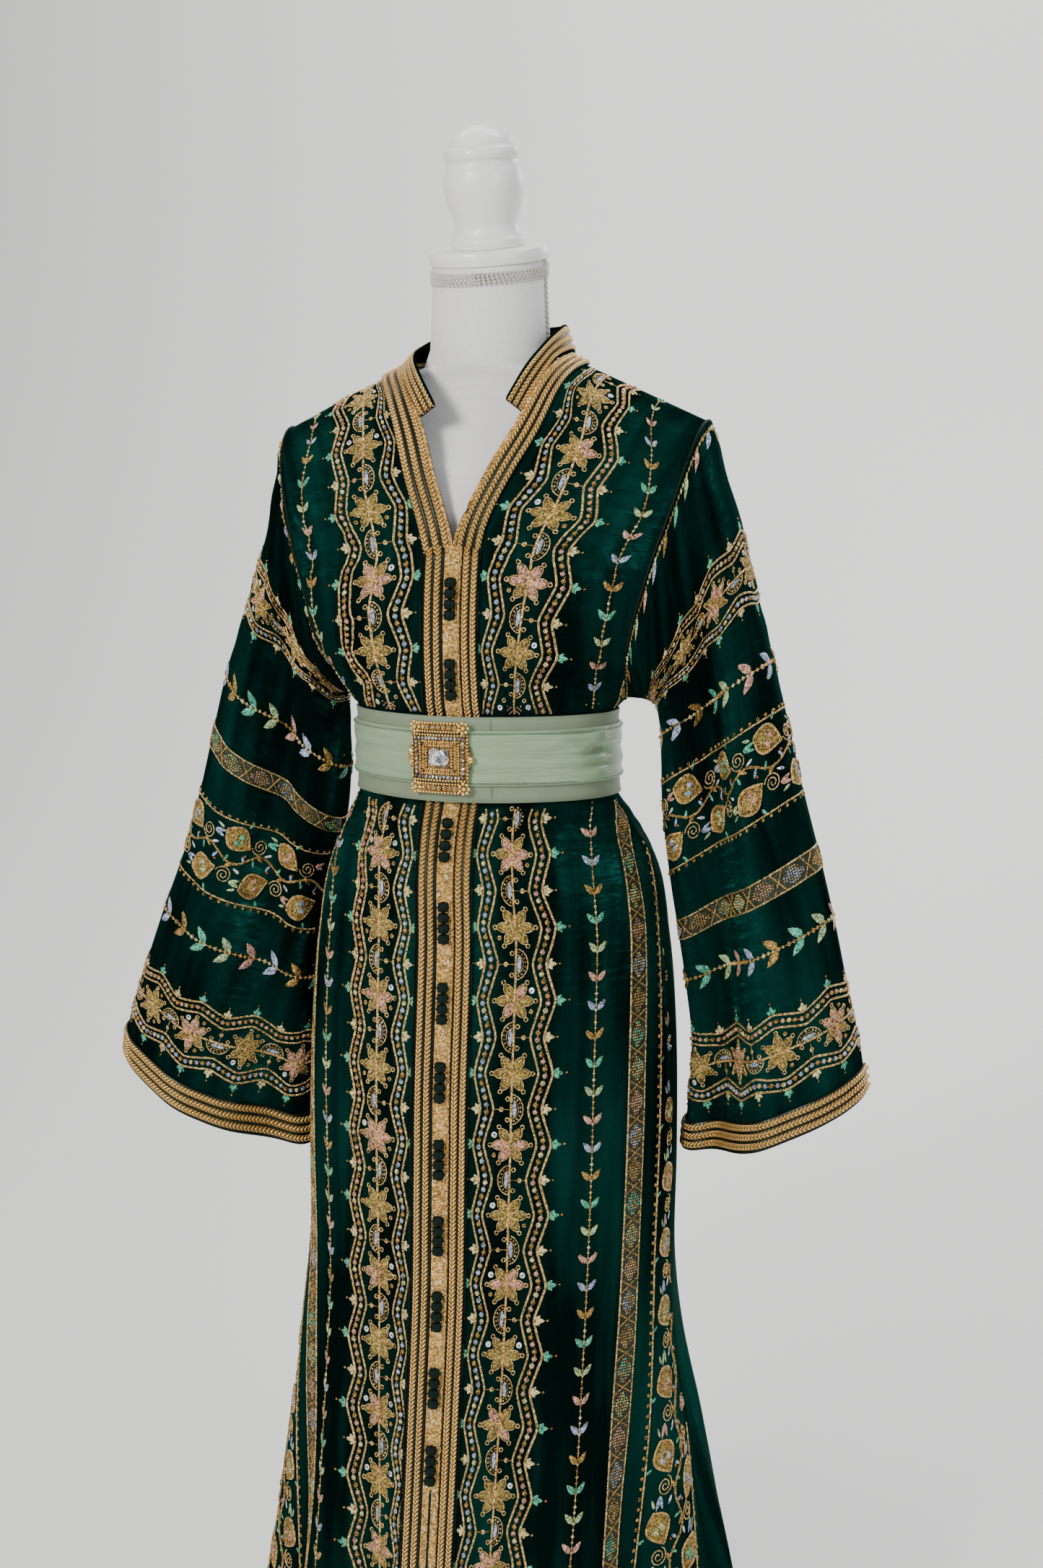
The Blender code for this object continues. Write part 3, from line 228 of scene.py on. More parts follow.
# Trim profiles across a braid, from its outer edge to the opening: place in metres, height above its base
NARROW_EDGE = 0.0250
PLACKET_EDGE, BAND_LEFT, BAND_RIGHT, PLACKET_TOP = 0.0268, -0.0066, 0.0096, 0.450
NECK_BRAID_WIDTH = 0.0262
NECK_BRAID_LIFT, NECK_BRAID_LIFT_AT_BACK = 0.0014, 0.0030

# The dress form, ring by ring: height, half width, front depth, back depth, shift. Where no width is given, the
# ring ends just under the shoulder seam of the garment that it carries
FORM_COLUMNS = "height half_width front back shift".split()
FORM = (
    (0.780, 0.134, 0.098, 0.104, 0.000),
    (0.796, 0.150, 0.112, 0.120, 0.000),
    (0.860, 0.158, 0.121, 0.130, 0.000),
    (0.940, 0.150, 0.114, 0.124, 0.000),
    (1.020, 0.131, 0.097, 0.105, 0.000),
    (1.098, 0.113, 0.085, 0.088, 0.000),
    (1.170, 0.124, 0.092, 0.090, 0.000),
    (1.260, 0.140, 0.102, 0.093, 0.001),
    (1.320, 0.156, 0.094, 0.086, 0.002),
    (1.360, 0.177, 0.076, 0.072, 0.003),
    (1.382, 0.186, 0.058, 0.058, 0.003),
    (1.400, None, 0.045, 0.047, None),
    (1.415, None, 0.042, 0.044, None),
    (1.430, None, 0.042, 0.045, None),
    (1.441, None, 0.044, 0.048, None),
    (1.452, 0.0635, 0.050, 0.053, 0.0035),
    (1.468, 0.0565, 0.053, 0.054, 0.0035),
    (1.500, 0.0545, 0.053, 0.055, 0.0035),
    (1.548, 0.0530, 0.053, 0.054, 0.0030),
)
FORM_SIDES = 20
FORM_UNDER_SEAM = 0.0028
NECK_TOP = 1.548
PLATE_CENTRE, PLATE_RADIUS, PLATE_HEIGHT, PLATE_TILT = 0.003, 0.0555, 0.0130, math.radians(13.0)

# The turned finial: height above the neck plate, radius
FINIAL = (
    (0.0000, 0.0338),
    (0.0075, 0.0343),
    (0.0100, 0.0320),
    (0.0190, 0.0290),
    (0.0290, 0.0314),
    (0.0420, 0.0354),
    (0.0540, 0.0368),
    (0.0660, 0.0356),
    (0.0770, 0.0326),
    (0.0785, 0.0337),
    (0.0865, 0.0334),
    (0.0880, 0.0312),
    (0.0955, 0.0272),
    (0.1020, 0.0190),
    (0.1065, 0.0085),
)

# The stand
BASE_RADIUS, BASE_THICKNESS, BASE_EDGE = 0.165, 0.020, 0.006
POLE_RADIUS = 0.014


# Reading the tables
def smooth(keys, values, key):
    """A smooth curve through (keys, values), read at key, which may be an array."""
    keys, values, key = (np.asarray(v, float) for v in (keys, values, key))
    slopes = np.gradient(values, keys)
    key = np.clip(key, keys[0], keys[-1])
    i = np.clip(np.searchsorted(keys, key, side="right") - 1, 0, len(keys) - 2)
    step = keys[i + 1] - keys[i]
    t = (key - keys[i]) / step
    start, end = values[i], values[i + 1]
    return (
        start * (1 + 2 * t) * (1 - t) ** 2
        + end * t * t * (3 - 2 * t)
        + slopes[i] * step * t * (1 - t) ** 2
        - slopes[i + 1] * step * t * t * (1 - t)
    )


def column(table, names, name, key):
    """One named column of a table, read at key along its first column."""
    rows = np.array(table, float)
    return smooth(rows[:, 0], rows[:, names.index(name)], key)


def ease(x):
    x = np.clip(x, 0.0, 1.0)
    return x * x * (3 - 2 * x)


# The body of the garment
def fold_depth(angle, height):
    """How far the skirt's folds and the gathers under the belt move the cloth out, angle in degrees."""
    out = np.zeros_like(np.asarray(angle, float) + np.asarray(height, float))
    for row in FOLDS:
        fold = dict(zip(FOLD_COLUMNS, row))
        away = (angle - fold["angle"] + 180.0) % 360.0 - 180.0
        grown = ease((fold["start"] - height) / (fold["start"] - fold["full"]))
        out = out + fold["depth"] * grown * np.exp(-((away / fold["spread"]) ** 2))
    under = np.clip((1.04 - height) / 0.02, 0, 1) * ease(1 - (1.04 - height) / GATHER_FALL)
    gathers = np.cos(np.radians(angle * GATHERS)) * ease(np.abs(angle) / 24.0)
    return out + GATHER_DEPTH * gathers * under


def ring_point(angle, height):
    """A point of the body's ring at a height below the arms, angle in degrees round from the front."""
    half, front, back, shift = (column(GIRTH, GIRTH_COLUMNS, n, height) for n in GIRTH_COLUMNS[1:])
    turn = np.radians(angle)
    fold = fold_depth(angle, height)
    deep = np.where(np.cos(turn) > 0, front, back)
    x = shift + (half + fold) * np.sin(turn)
    y = -(deep + fold) * np.cos(turn)
    return np.stack([x, y, np.broadcast_to(height, x.shape)], axis=-1)


def rounding(share):
    """How much of the chest's depth is left as the yoke rounds over the shoulder."""
    return np.sqrt(np.clip(1 - share**4, 0, 1))


def yoke_point(side, across, share):
    """A point of the front yoke: across 0 at the placket or neckline edge, 1 at the armhole edge."""
    neck_x, neck_z = (neck_edge(side, share, k) for k in "xz")
    arm_x = column(YOKE, YOKE_COLUMNS, f"arm_x_{WEARERS_SIDE[side]}", share)
    arm_z = column(YOKE, YOKE_COLUMNS, "arm_z", share)
    chest = column(YOKE, YOKE_COLUMNS, "chest", share)
    x = neck_x + (arm_x - neck_x) * across
    z = neck_z + (arm_z - neck_z) * across
    return np.stack([x, -chest * yoke_profile(x, arm_x, share), z], axis=-1)


def neck_edge(side, share, axis):
    """The centre line below the V point and the neckline above it, on one side."""
    both = [column(YOKE, YOKE_COLUMNS, f"neck_{axis}_{WEARERS_SIDE[s]}", share) for s in (-1, 1)]
    own = both[1] if side > 0 else both[0]
    return np.where(np.asarray(share) < V_SHARE, (both[0] + both[1]) / 2, own)


def yoke_profile(x, arm_x, share):
    power = 2 + ease(share / 0.3)
    reach = np.abs(arm_x) * (1 + 0.05 * ease(share / 0.2))
    flat = np.clip(1 - np.abs(x / reach) ** power, 0, 1) ** (1 / power)
    return flat * rounding(share)


def back_point(across, share):
    """A point of the back yoke: across -1 at the wearer's right armhole, 1 at the left one."""
    left = across > 0
    arm_x = np.where(
        left,
        column(YOKE, YOKE_COLUMNS, "arm_x_left", share),
        -column(YOKE, YOKE_COLUMNS, "arm_x_right", share),
    )
    arm_z = column(YOKE, YOKE_COLUMNS, "arm_z", share)
    deep = column(YOKE, YOKE_COLUMNS, "back", share)
    x = arm_x * across
    top = dict(zip(YOKE_COLUMNS, YOKE[-1]))
    neck_z = np.where(left, top["neck_z_left"], top["neck_z_right"])
    inside = np.clip(np.abs(across) / NECK_SHARE, 0, 1)
    seam_z = neck_z + (TIP_HEIGHT - neck_z) * np.clip((np.abs(across) - NECK_SHARE) / (1 - NECK_SHARE), 0, 1)
    neck_curve = BACK_NECK_HEIGHT + (neck_z - BACK_NECK_HEIGHT) * inside**2
    top_z = np.where(np.abs(across) < NECK_SHARE, neck_curve, seam_z)
    top_y = BACK_NECK_DEPTH * np.sqrt(1 - inside**2)
    rise = (arm_z - UNDERARM_HEIGHT) / (TIP_HEIGHT - UNDERARM_HEIGHT)
    z = UNDERARM_HEIGHT + (top_z - UNDERARM_HEIGHT) * rise
    full = deep * yoke_profile(x, arm_x, share)
    y = np.sqrt(full**2 + (top_y * share**3) ** 2)
    return np.stack([x, y, z], axis=-1)


def front_grid(side, columns, skirt_rows, yoke_rows):
    """The outer points of a front panel, from hem to shoulder, from the centre front to the side."""
    rows = []
    for height in skirt_rows:
        centre = float(column(CENTRE_LINE, CENTRE_LINE_COLUMNS, "across", height))
        shift = float(column(GIRTH, GIRTH_COLUMNS, "shift", height))
        half = float(column(GIRTH, GIRTH_COLUMNS, "half_width", height))
        start = math.degrees(math.asin((centre - shift) / half)) * side
        angles = side * (start + (90.0 - start) * columns)
        rows.append(ring_point(angles, np.full(len(columns), height)))
    for share in yoke_rows:
        across = np.sin(columns * math.pi / 2)
        rows.append(yoke_point(side, across, np.full(len(columns), share)))
    grid = np.array(rows)
    grid[..., 1] -= SEAM * 0.6
    grid[:, 0, 0] += side * SEAM
    return grid


def back_grid(across, skirt_rows, yoke_rows):
    """The outer points of the back panel, from side to side."""
    rows = []
    for height in skirt_rows:
        rows.append(ring_point(180.0 - np.degrees(np.arcsin(across)), np.full(len(across), height)))
    for share in yoke_rows:
        rows.append(back_point(across, np.full(len(across), share)))
    grid = np.array(rows)
    grid[..., 1] += SEAM * 0.6
    return grid


# The sleeves
def armhole_point(side, turn):
    """The armhole edge: turn 0 at the shoulder, pi at the underarm, front first."""
    front = np.sin(turn) >= 0
    share = (1 + np.cos(turn)) / 2
    edge_front = yoke_point(side, np.ones_like(turn), share)
    edge_back = back_point(np.full_like(turn, float(side)), share)
    return np.where(front[:, None], edge_front, edge_back)


def sleeve_point(side, share, turn):
    """A ring of the sleeve: turn 0 at the outer edge, pi at the inner edge, front first."""
    table, folds = (LEFT_SLEEVE, LEFT_SLEEVE_FOLDS) if side > 0 else (RIGHT_SLEEVE, RIGHT_SLEEVE_FOLDS)
    row = {n: float(column(table, SLEEVE_ROW_COLUMNS, n, share)) for n in SLEEVE_ROW_COLUMNS[1:]}
    across = (1 - np.cos(turn)) / 2
    face = np.where(np.sin(turn) >= 0, 1.0, -1.0)
    x = row["outer_x"] + (row["inner_x"] - row["outer_x"]) * across
    z = row["outer_z"] + (row["inner_z"] - row["outer_z"]) * across
    swell = np.abs(np.sin(turn)) ** 0.85
    deep = np.where(face > 0, row["front"], row["back"]) * swell
    grown = float(ease(share / 0.45))
    for values in folds:
        fold = dict(zip(SLEEVE_FOLD_COLUMNS, values))
        place = fold["top_across"] + (fold["hem_across"] - fold["top_across"]) * share
        shape = np.exp(-(((across - place) / fold["spread"]) ** 2))
        deep = deep + np.where(face == fold["face"], fold["depth"] * grown * shape * swell, 0.0)
    y = row["middle"] + 0.022 * grown * (across - 0.5) - face * deep
    drop = np.where(face > 0, HEM_DROP_FRONT, HEM_DROP_BACK) * share**4
    z = z - drop * np.abs(np.sin(turn))
    ring = np.stack([x, y, z], axis=-1)
    start = armhole_point(side, turn)
    start[:, 0] += side * 2 * SEAM
    return start + (ring - start) * float(ease(share / 0.22))


def line_on_front(offset, rows, yoke_rows):
    """Points of the front surface at an offset across from the centre line, up to the V point."""
    points = []
    for height in rows:
        centre = float(column(CENTRE_LINE, CENTRE_LINE_COLUMNS, "across", height))
        shift = float(column(GIRTH, GIRTH_COLUMNS, "shift", height))
        half = float(column(GIRTH, GIRTH_COLUMNS, "half_width", height))
        angle = math.degrees(math.asin((centre + offset - shift) / half))
        points.append(ring_point(np.array([angle]), np.array([height]))[0])
    side = 1 if offset > 0 else -1
    for share in yoke_rows:
        start = float(neck_edge(side, share, "x"))
        arm = float(column(YOKE, YOKE_COLUMNS, f"arm_x_{WEARERS_SIDE[side]}", share))
        points.append(yoke_point(side, np.array([offset / (arm - start)]), np.array([share]))[0])
    grid = np.array(points)
    grid[:, 1] -= SEAM * 0.6
    return grid


def fine_rows():
    """Heights of the skirt's rows and shares of the yoke's, closer together where the yoke rounds over."""
    skirt = list(np.arange(0.02, UNDERARM_HEIGHT - SKIRT_STEP / 2, SKIRT_STEP))
    t = np.linspace(0, 1, YOKE_SPANS + 1)
    return skirt, list(1 - (1 - t) ** 2 * (1 - 0.35 * t))


def unit(vectors):
    return vectors / (np.linalg.norm(vectors, axis=-1, keepdims=True) + 1e-12)


def cloth_noise(u, v, seed):
    """Smooth unevenness from -1 to 1, the same on every run."""
    u, v = np.broadcast_arrays(np.asarray(u, float), np.asarray(v, float))
    iu, iv = np.floor(u), np.floor(v)
    fu, fv = ease(u - iu), ease(v - iv)

    def corner(a, b):
        return (np.sin((iu + a) * 12.71 + (iv + b) * 31.17 + seed * 7.47) * 4375.85453) % 1.0

    low = corner(0, 0) * (1 - fu) + corner(1, 0) * fu
    high = corner(0, 1) * (1 - fu) + corner(1, 1) * fu
    return 2 * (low * (1 - fv) + high * fv) - 1


def bump_at(value, middle, width):
    return np.exp(-(((value - middle) / width) ** 2))


def grid_normals(grid, closed=False):
    """Unit normals of a grid of points, pointing out of the garment."""
    along = np.roll(grid, -1, axis=1) - np.roll(grid, 1, axis=1) if closed else np.gradient(grid, axis=1)
    normals = unit(np.cross(along, np.gradient(grid, axis=0)))
    middle = grid.mean(axis=1, keepdims=True) if closed else 0.0
    weights = np.array([1.0, 1.0, 1.0 if closed else 0.0])
    return normals if (normals * (grid - middle) * weights).sum() > 0 else -normals


def lengths_across(grid, start):
    """Distance along each row from the column numbered start."""
    steps = np.linalg.norm(np.diff(grid, axis=1), axis=-1)
    total = np.concatenate([np.zeros((len(grid), 1)), np.cumsum(steps, axis=1)], axis=1)
    return total - total[:, start : start + 1]


def lengths_up(grid, start):
    steps = np.linalg.norm(np.diff(grid[:, start], axis=0), axis=-1)
    return np.concatenate([[0.0], np.cumsum(steps)])


class Cloth:
    """A sheet of cloth as a grid of points, read at a place across and up it in metres."""

    STEP = 0.002

    def __init__(self, grid, normals, start=0):
        self.grid, self.normals = grid, normals
        self.across, self.up = lengths_across(grid, start), lengths_up(grid, start)
        self.low = self.across.min()
        reads = self.low + np.arange(int((self.across.max() - self.low) / self.STEP) + 2) * self.STEP
        numbers = np.arange(grid.shape[1])
        self.columns = np.array([np.interp(reads, row, numbers) for row in self.across])

    def read(self, u, v, lift=0.0):
        """Points over the cloth, normals there, and whether each place lies on the sheet."""
        u, v = np.asarray(u, float), np.asarray(v, float)
        r = np.clip(np.interp(v, self.up, np.arange(len(self.up))), 0, len(self.up) - 1.000001)
        k = np.clip((u - self.low) / self.STEP, 0, self.columns.shape[1] - 1.000001)
        c = between(self.columns, r, k)
        normals = unit(between(self.normals, r, c))
        row = r.astype(int)
        inside = (u >= self.across[row, 0]) & (u <= self.across[row, -1]) & (v >= 0) & (v <= self.up[-1])
        return between(self.grid, r, c) + normals * np.asarray(lift)[..., None], normals, inside

    def places(self):
        """The place across and up of every corner of the grid."""
        return np.stack([self.across, np.broadcast_to(self.up[:, None], self.across.shape)], axis=-1)


def between(field, r, c):
    """A field read between its rows and columns."""
    r = np.clip(r, 0, field.shape[0] - 1.000001)
    c = np.clip(c, 0, field.shape[1] - 1.000001)
    r0, c0 = r.astype(int), c.astype(int)
    fr, fc = r - r0, c - c0
    if field.ndim == 3:
        fr, fc = fr[..., None], fc[..., None]
    return (field[r0, c0] * (1 - fr) * (1 - fc) + field[r0 + 1, c0] * fr * (1 - fc)
            + field[r0, c0 + 1] * (1 - fr) * fc + field[r0 + 1, c0 + 1] * fr * fc)


def body_creases(u, z, seed):
    """How far the satin stands off its smooth form, u across from the centre and z up, in metres."""
    long = 0.0022 * cloth_noise(u / 0.050, z / 0.45, seed) + 0.0011 * cloth_noise(u / 0.021, z / 0.22, seed + 1)
    phase = 2 * math.pi * (u + 0.004 * cloth_noise(u / 0.03, z / 0.08, seed + 2)) / 0.017
    gathers = 0.0017 * np.cos(phase) * np.exp(-np.clip(BELT_BOTTOM - z, 0, None) / 0.050) * (z < BELT_BOTTOM)
    blouse = 0.0013 * np.cos(phase * 0.8) * np.exp(-np.clip(z - BELT_TOP, 0, None) / 0.030) * (z > BELT_TOP)
    slant = (np.abs(u) * 0.55 + (z - 1.15) * 0.85) / 0.030 + 1.1 * cloth_noise(u / 0.06, z / 0.06, seed + 3)
    drape = 0.0021 * np.sin(2 * math.pi * slant) * bump_at(z, 1.25, 0.085) * ease((np.abs(u) - 0.05) / 0.05)
    hem = 0.0035 * cloth_noise(u / 0.075, z / 0.5, seed + 4) * ease((0.55 - z) / 0.5)
    off_belt = np.clip(ease((BELT_BOTTOM - 0.004 - z) / 0.02) + ease((z - BELT_TOP - 0.004) / 0.02), 0, 1)
    return (long + gathers + blouse + drape + hem) * off_belt


def creased(grid, start, seed, edges):
    """A panel's grid with its creases, which die out at its seams."""
    normals = grid_normals(grid)
    u = lengths_across(grid, start)
    top = ease((np.arange(len(grid))[::-1, None] - 1) / 8)
    out = body_creases(u, grid[..., 2], seed) * edges(u) * top * bpy.context.scene.kaftan.crease_depth
    grid = grid + normals * out[..., None]
    return Cloth(grid, grid_normals(grid), start)


@lru_cache(maxsize=None)
def front_cloth(side):
    grid = front_grid(side, np.linspace(0, 1, FRONT_SPANS + 1), *fine_rows())
    return creased(grid, 0, 3 if side > 0 else 11,
                   lambda u: ease((u - 0.030) / 0.02) * ease((u[:, -1:] - u) / 0.03))


@lru_cache(maxsize=None)
def back_cloth():
    shares = np.linspace(-1, 1, BACK_SPANS + 1)
    across = 0.5 * np.sin(shares * math.pi / 2) + 0.5 * shares
    grid = back_grid(across, *fine_rows())
    return creased(grid, BACK_SPANS // 2, 23, lambda u: ease((u - u[:, :1]) / 0.03) * ease((u[:, -1:] - u) / 0.03))


@lru_cache(maxsize=None)
def sleeve_cloth(side):
    turns = (math.pi + np.linspace(0, 2 * math.pi, SLEEVE_SPANS + 1)[::-side]) % (2 * math.pi)
    shares = np.linspace(0, 1, SLEEVE_RINGS + 1)
    ring = np.array([sleeve_point(side, share, turns[:-1]) for share in shares])
    normals = grid_normals(ring, True)
    middle = SLEEVE_SPANS // 2
    u, v = lengths_across(ring, middle), shares[:, None] * 0.66
    seed = 41 if side > 0 else 57
    folds = 0.0019 * cloth_noise(u / 0.034, v / 0.30, seed) + 0.0010 * cloth_noise(u / 0.015, v / 0.16, seed + 1)
    cross = np.sin(2 * math.pi * (v / 0.045 + u / 0.16 + 0.6 * cloth_noise(u / 0.05, v / 0.07, seed + 2)))
    out = folds + 0.0009 * cross * ease((0.5 - shares[:, None]) / 0.4)
    seams = ease(v / 0.03) * ease((u - u[:, :1]) / 0.02) * ease((u[:, -1:] - u) / 0.02)
    seams = seams * (0.25 + 0.75 * ease((1 - shares[:, None]) / 0.06))
    ring = ring + normals * (out * seams * bpy.context.scene.kaftan.crease_depth)[..., None]
    normals = grid_normals(ring, True)
    grid, normals = (np.concatenate([f, f[:, :1]], axis=1) for f in (ring, normals))
    return Cloth(grid[::-1], normals[::-1], middle)


# Making meshes
def grid_mesh(name, points, uv=None, facing=None, closed=False, both_closed=False):
    """A created grid with its corners moved to an array of points, its faces turned the way that facing points."""
    rows, columns = points.shape[:2]
    bm = bmesh.new()
    bmesh.ops.create_grid(bm, x_segments=columns - 1, y_segments=rows - 1, size=1.0)
    mesh = bpy.data.meshes.new(name)
    bm.to_mesh(mesh)
    bm.free()
    flat = np.empty(len(mesh.vertices) * 3)
    mesh.vertices.foreach_get("co", flat)
    place = np.rint((flat.reshape(-1, 3)[:, :2] + 1) / 2 * (columns - 1, rows - 1)).astype(int)
    order = place[:, 1] * columns + place[:, 0]
    mesh.vertices.foreach_set("co", points.reshape(-1, 3)[order].ravel())
    if uv is not None:
        corners = np.empty(len(mesh.loops), dtype=np.int32)
        mesh.loops.foreach_get("vertex_index", corners)
        layer = mesh.uv_layers.new(name="cloth")
        layer.data.foreach_set("uv", uv.reshape(-1, 2)[order][corners].ravel())
    if facing is not None:
        normals = np.cross(np.gradient(points, axis=1), np.gradient(points, axis=0))
        if (normals * facing).sum() < 0:
            mesh.flip_normals()
    if closed:
        bm = bmesh.new()
        bm.from_mesh(mesh)
        bmesh.ops.remove_doubles(bm, verts=bm.verts, dist=1e-6)
        if facing is None:
            bmesh.ops.recalc_face_normals(bm, faces=bm.faces)
        bm.to_mesh(mesh)
        bm.free()
    mesh.update()
    return mesh


def piece_from(name, mesh, material, replaces=(), wall=None, sharp=None):
    """A finished object at the origin that rides on the garment, with a wall inwards where one is asked for."""
    mesh.shade_smooth()
    if sharp is not None:
        mesh.set_sharp_from_angle(angle=math.radians(sharp))
    if material.name not in mesh.materials:
        mesh.materials.append(material)
    piece = bpy.data.objects.new(name, mesh)
    bpy.context.scene.collection.objects.link(piece)
    if wall:
        solid = piece.modifiers.new("wall", "SOLIDIFY")
        solid.thickness, solid.offset = wall, -1.0
    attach(piece, BODY)
    if replaces:
        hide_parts(*replaces)
    return piece


def mesh_area(mesh):
    areas = np.empty(len(mesh.polygons))
    mesh.polygons.foreach_get("area", areas)
    return float(areas.sum())


def cord_profile(width, cords, lead, gap, fine=7):
    """Places across a braid, heights over its base, and each place's share across its own cord, 2 off a cord."""
    rows, nick = [(0.0, 0.0, 2.0)], 0.0002
    for cord in range(cords):
        start = lead + cord * (CORD_WIDTH + gap)
        rows.append((start - nick, -0.0003, 2.0))
        for k in range(fine + 1):
            side = 2 * k / fine - 1
            rows.append((start + (side + 1) / 2 * CORD_WIDTH, CORD_HEIGHT * math.sqrt(1.0001 - side**2), side))
        rows.append((start + CORD_WIDTH + nick, -0.0003, 2.0))
    rows.append((width, 0.0, 2.0))
    return (np.array(column) for column in zip(*rows))


def strip_grid(left, right, left_normals, right_normals, places, heights, lift):
    """A strip's outer surface between two edge lines, with its relief, one row for each station."""
    share = ((places - places[0]) / (places[-1] - places[0]))[None, :, None]
    chord = right - left
    rise = ((left_normals * chord).sum(-1) - (right_normals * chord).sum(-1)) / 2
    normal = unit(left_normals[:, None] * (1 - share) + right_normals[:, None] * share)
    bow = np.clip(rise, 0, None)[:, None, None] * share * (1 - share)
    base = left[:, None] + chord[:, None] * share
    return base + normal * (bow + (lift + heights)[None, :, None]), normal


def wrapped(grid, normals, sides, under):
    """A strip's surface carried down over both of its edges to the cloth, with the sides' own places."""
    low = grid - normals * under
    return np.concatenate([low[:, :1], grid, low[:, -1:]], axis=1), np.concatenate([[2.0], sides, [2.0]])


def strip_uv(grid, sides):
    """Share across the cord and metres along the strip."""
    middle = grid.shape[1] // 2
    return np.stack(np.broadcast_arrays(sides[None, :], lengths_up(grid, middle)[:, None]), axis=-1)


# Finishes
class Value:
    """A shader socket that takes part in sums."""

    def __init__(self, finish, socket):
        self.finish, self.socket = finish, socket

    def math(self, operation, *others, swap=False):
        values = (*others, self) if swap else (self, *others)
        return self.finish.node("ShaderNodeMath", {"operation": operation}, dict(enumerate(values)))[0]

    def __add__(self, other): return self.math("ADD", other)
    def __radd__(self, other): return self.math("ADD", other)
    def __sub__(self, other): return self.math("SUBTRACT", other)
    def __rsub__(self, other): return self.math("SUBTRACT", other, swap=True)
    def __mul__(self, other): return self.math("MULTIPLY", other)
    def __rmul__(self, other): return self.math("MULTIPLY", other)
    def __truediv__(self, other): return self.math("DIVIDE", other)
    def __rtruediv__(self, other): return self.math("DIVIDE", other, swap=True)

    def clipped(self):
        return self.math("MINIMUM", 1.0).math("MAXIMUM", 0.0)


class Finish:
    """A material, with its plain values on the shader and its changing ones linked."""

    def __init__(self, name, colour, roughness, metallic=0.0, **plain):
        self.material = bpy.data.materials.new(name)
        self.material.use_nodes = True
        self.tree = self.material.node_tree
        self.shader = self.tree.nodes["Principled BSDF"]
        self.shader.inputs["Base Color"].default_value = (*colour, 1.0)
        self.shader.inputs["Roughness"].default_value = roughness
        self.shader.inputs["Metallic"].default_value = metallic
        self.material.diffuse_color = (*colour, 1.0)
        for key, value in plain.items():
            self.shader.inputs[key.replace("_", " ").title().replace("Ior", "IOR")].default_value = value

    def node(self, kind, settings=None, values=None):
        """A node with its settings and the values or links of its sockets; its outputs come back in order."""
        made = self.tree.nodes.new(kind)
        for key, value in (settings or {}).items():
            setattr(made, key, value)
        for key, value in (values or {}).items():
            if isinstance(value, Value):
                self.tree.links.new(value.socket, made.inputs[key])
            else:
                made.inputs[key].default_value = value
        return [Value(self, socket) for socket in made.outputs]

    def set(self, **links):
        for key, value in links.items():
            self.tree.links.new(value.socket, self.shader.inputs[key.replace("_", " ").title()])
        return self

    def cloth_place(self):
        """Share or metres across and metres along, from the piece's own UV map."""
        place = self.node("ShaderNodeUVMap", {"uv_map": "cloth"})[0]
        return (place, *self.node("ShaderNodeSeparateXYZ", None, {0: place})[:2])

    def solid_place(self):
        return self.node("ShaderNodeTexCoord")[3]

    def stretched(self, place, scale):
        return self.node("ShaderNodeVectorMath", {"operation": "MULTIPLY"}, {0: place, 1: scale})[0]

    def noise(self, place, scale, detail=2.0):
        return self.node("ShaderNodeTexNoise", None, {"Vector": place, "Scale": scale, "Detail": detail})[0]

    def mix(self, factor, low, high):
        """A colour between two, each a colour or a link."""
        low, high = (v if isinstance(v, Value) else (*v, 1.0) for v in (low, high))
        return self.node("ShaderNodeMix", {"data_type": "RGBA"}, {0: factor, 6: low, 7: high})[2]

    def bump(self, height, distance, strength=1.0):
        return self.node("ShaderNodeBump", None, {"Height": height, "Distance": distance, "Strength": strength})[0]


def choices():
    return bpy.context.scene.kaftan


@lru_cache(maxsize=None)
def satin():
    """Duchess satin: streaks and patches of painted sheen and painted shade in its colour down the cloth, fine puckers
    and a faint weave.
    """
    colour = Vector(choices().satin_colour)
    made = Finish("satin", colour, 0.36, 0.45, specular_ior_level=0.0)
    made.shader.inputs["Specular Tint"].default_value = (0.03, 0.22, 0.16, 1.0)
    place, across, along = made.cloth_place()
    streaks = made.noise(made.stretched(place, (1.0, 0.09, 1.0)), 42.0, 3.0)
    patches = made.noise(made.stretched(place, (1.0, 0.35, 1.0)), 9.0, 2.0)
    # Painted sheen and shade: the streaks and patches make the satin's colour lighter and darker, standing in for light
    # on the cloth.
    shade = (streaks * 1.7 + patches * 2.6 - 1.85).clipped()
    made.set(base_color=made.mix(shade, colour * 0.34, colour * 2.15), roughness=0.36 - shade * 0.10)
    puckers = made.noise(made.stretched(place, (0.35, 1.0, 1.0)), 120.0, 2.0)
    slack = made.noise(made.stretched(place, (1.0, 0.5, 1.0)), 34.0, 3.0)
    weave = (across * 6000.0).math("SINE") * 0.06
    return made.set(normal=made.bump(puckers * patches * 1.1 + slack * 2.2 + weave, 0.0042, 1.0)).material


def gold_metal(name, colour, roughness=0.36, metallic=0.75):
    return Finish(name, colour, roughness, metallic, specular_ior_level=0.6)


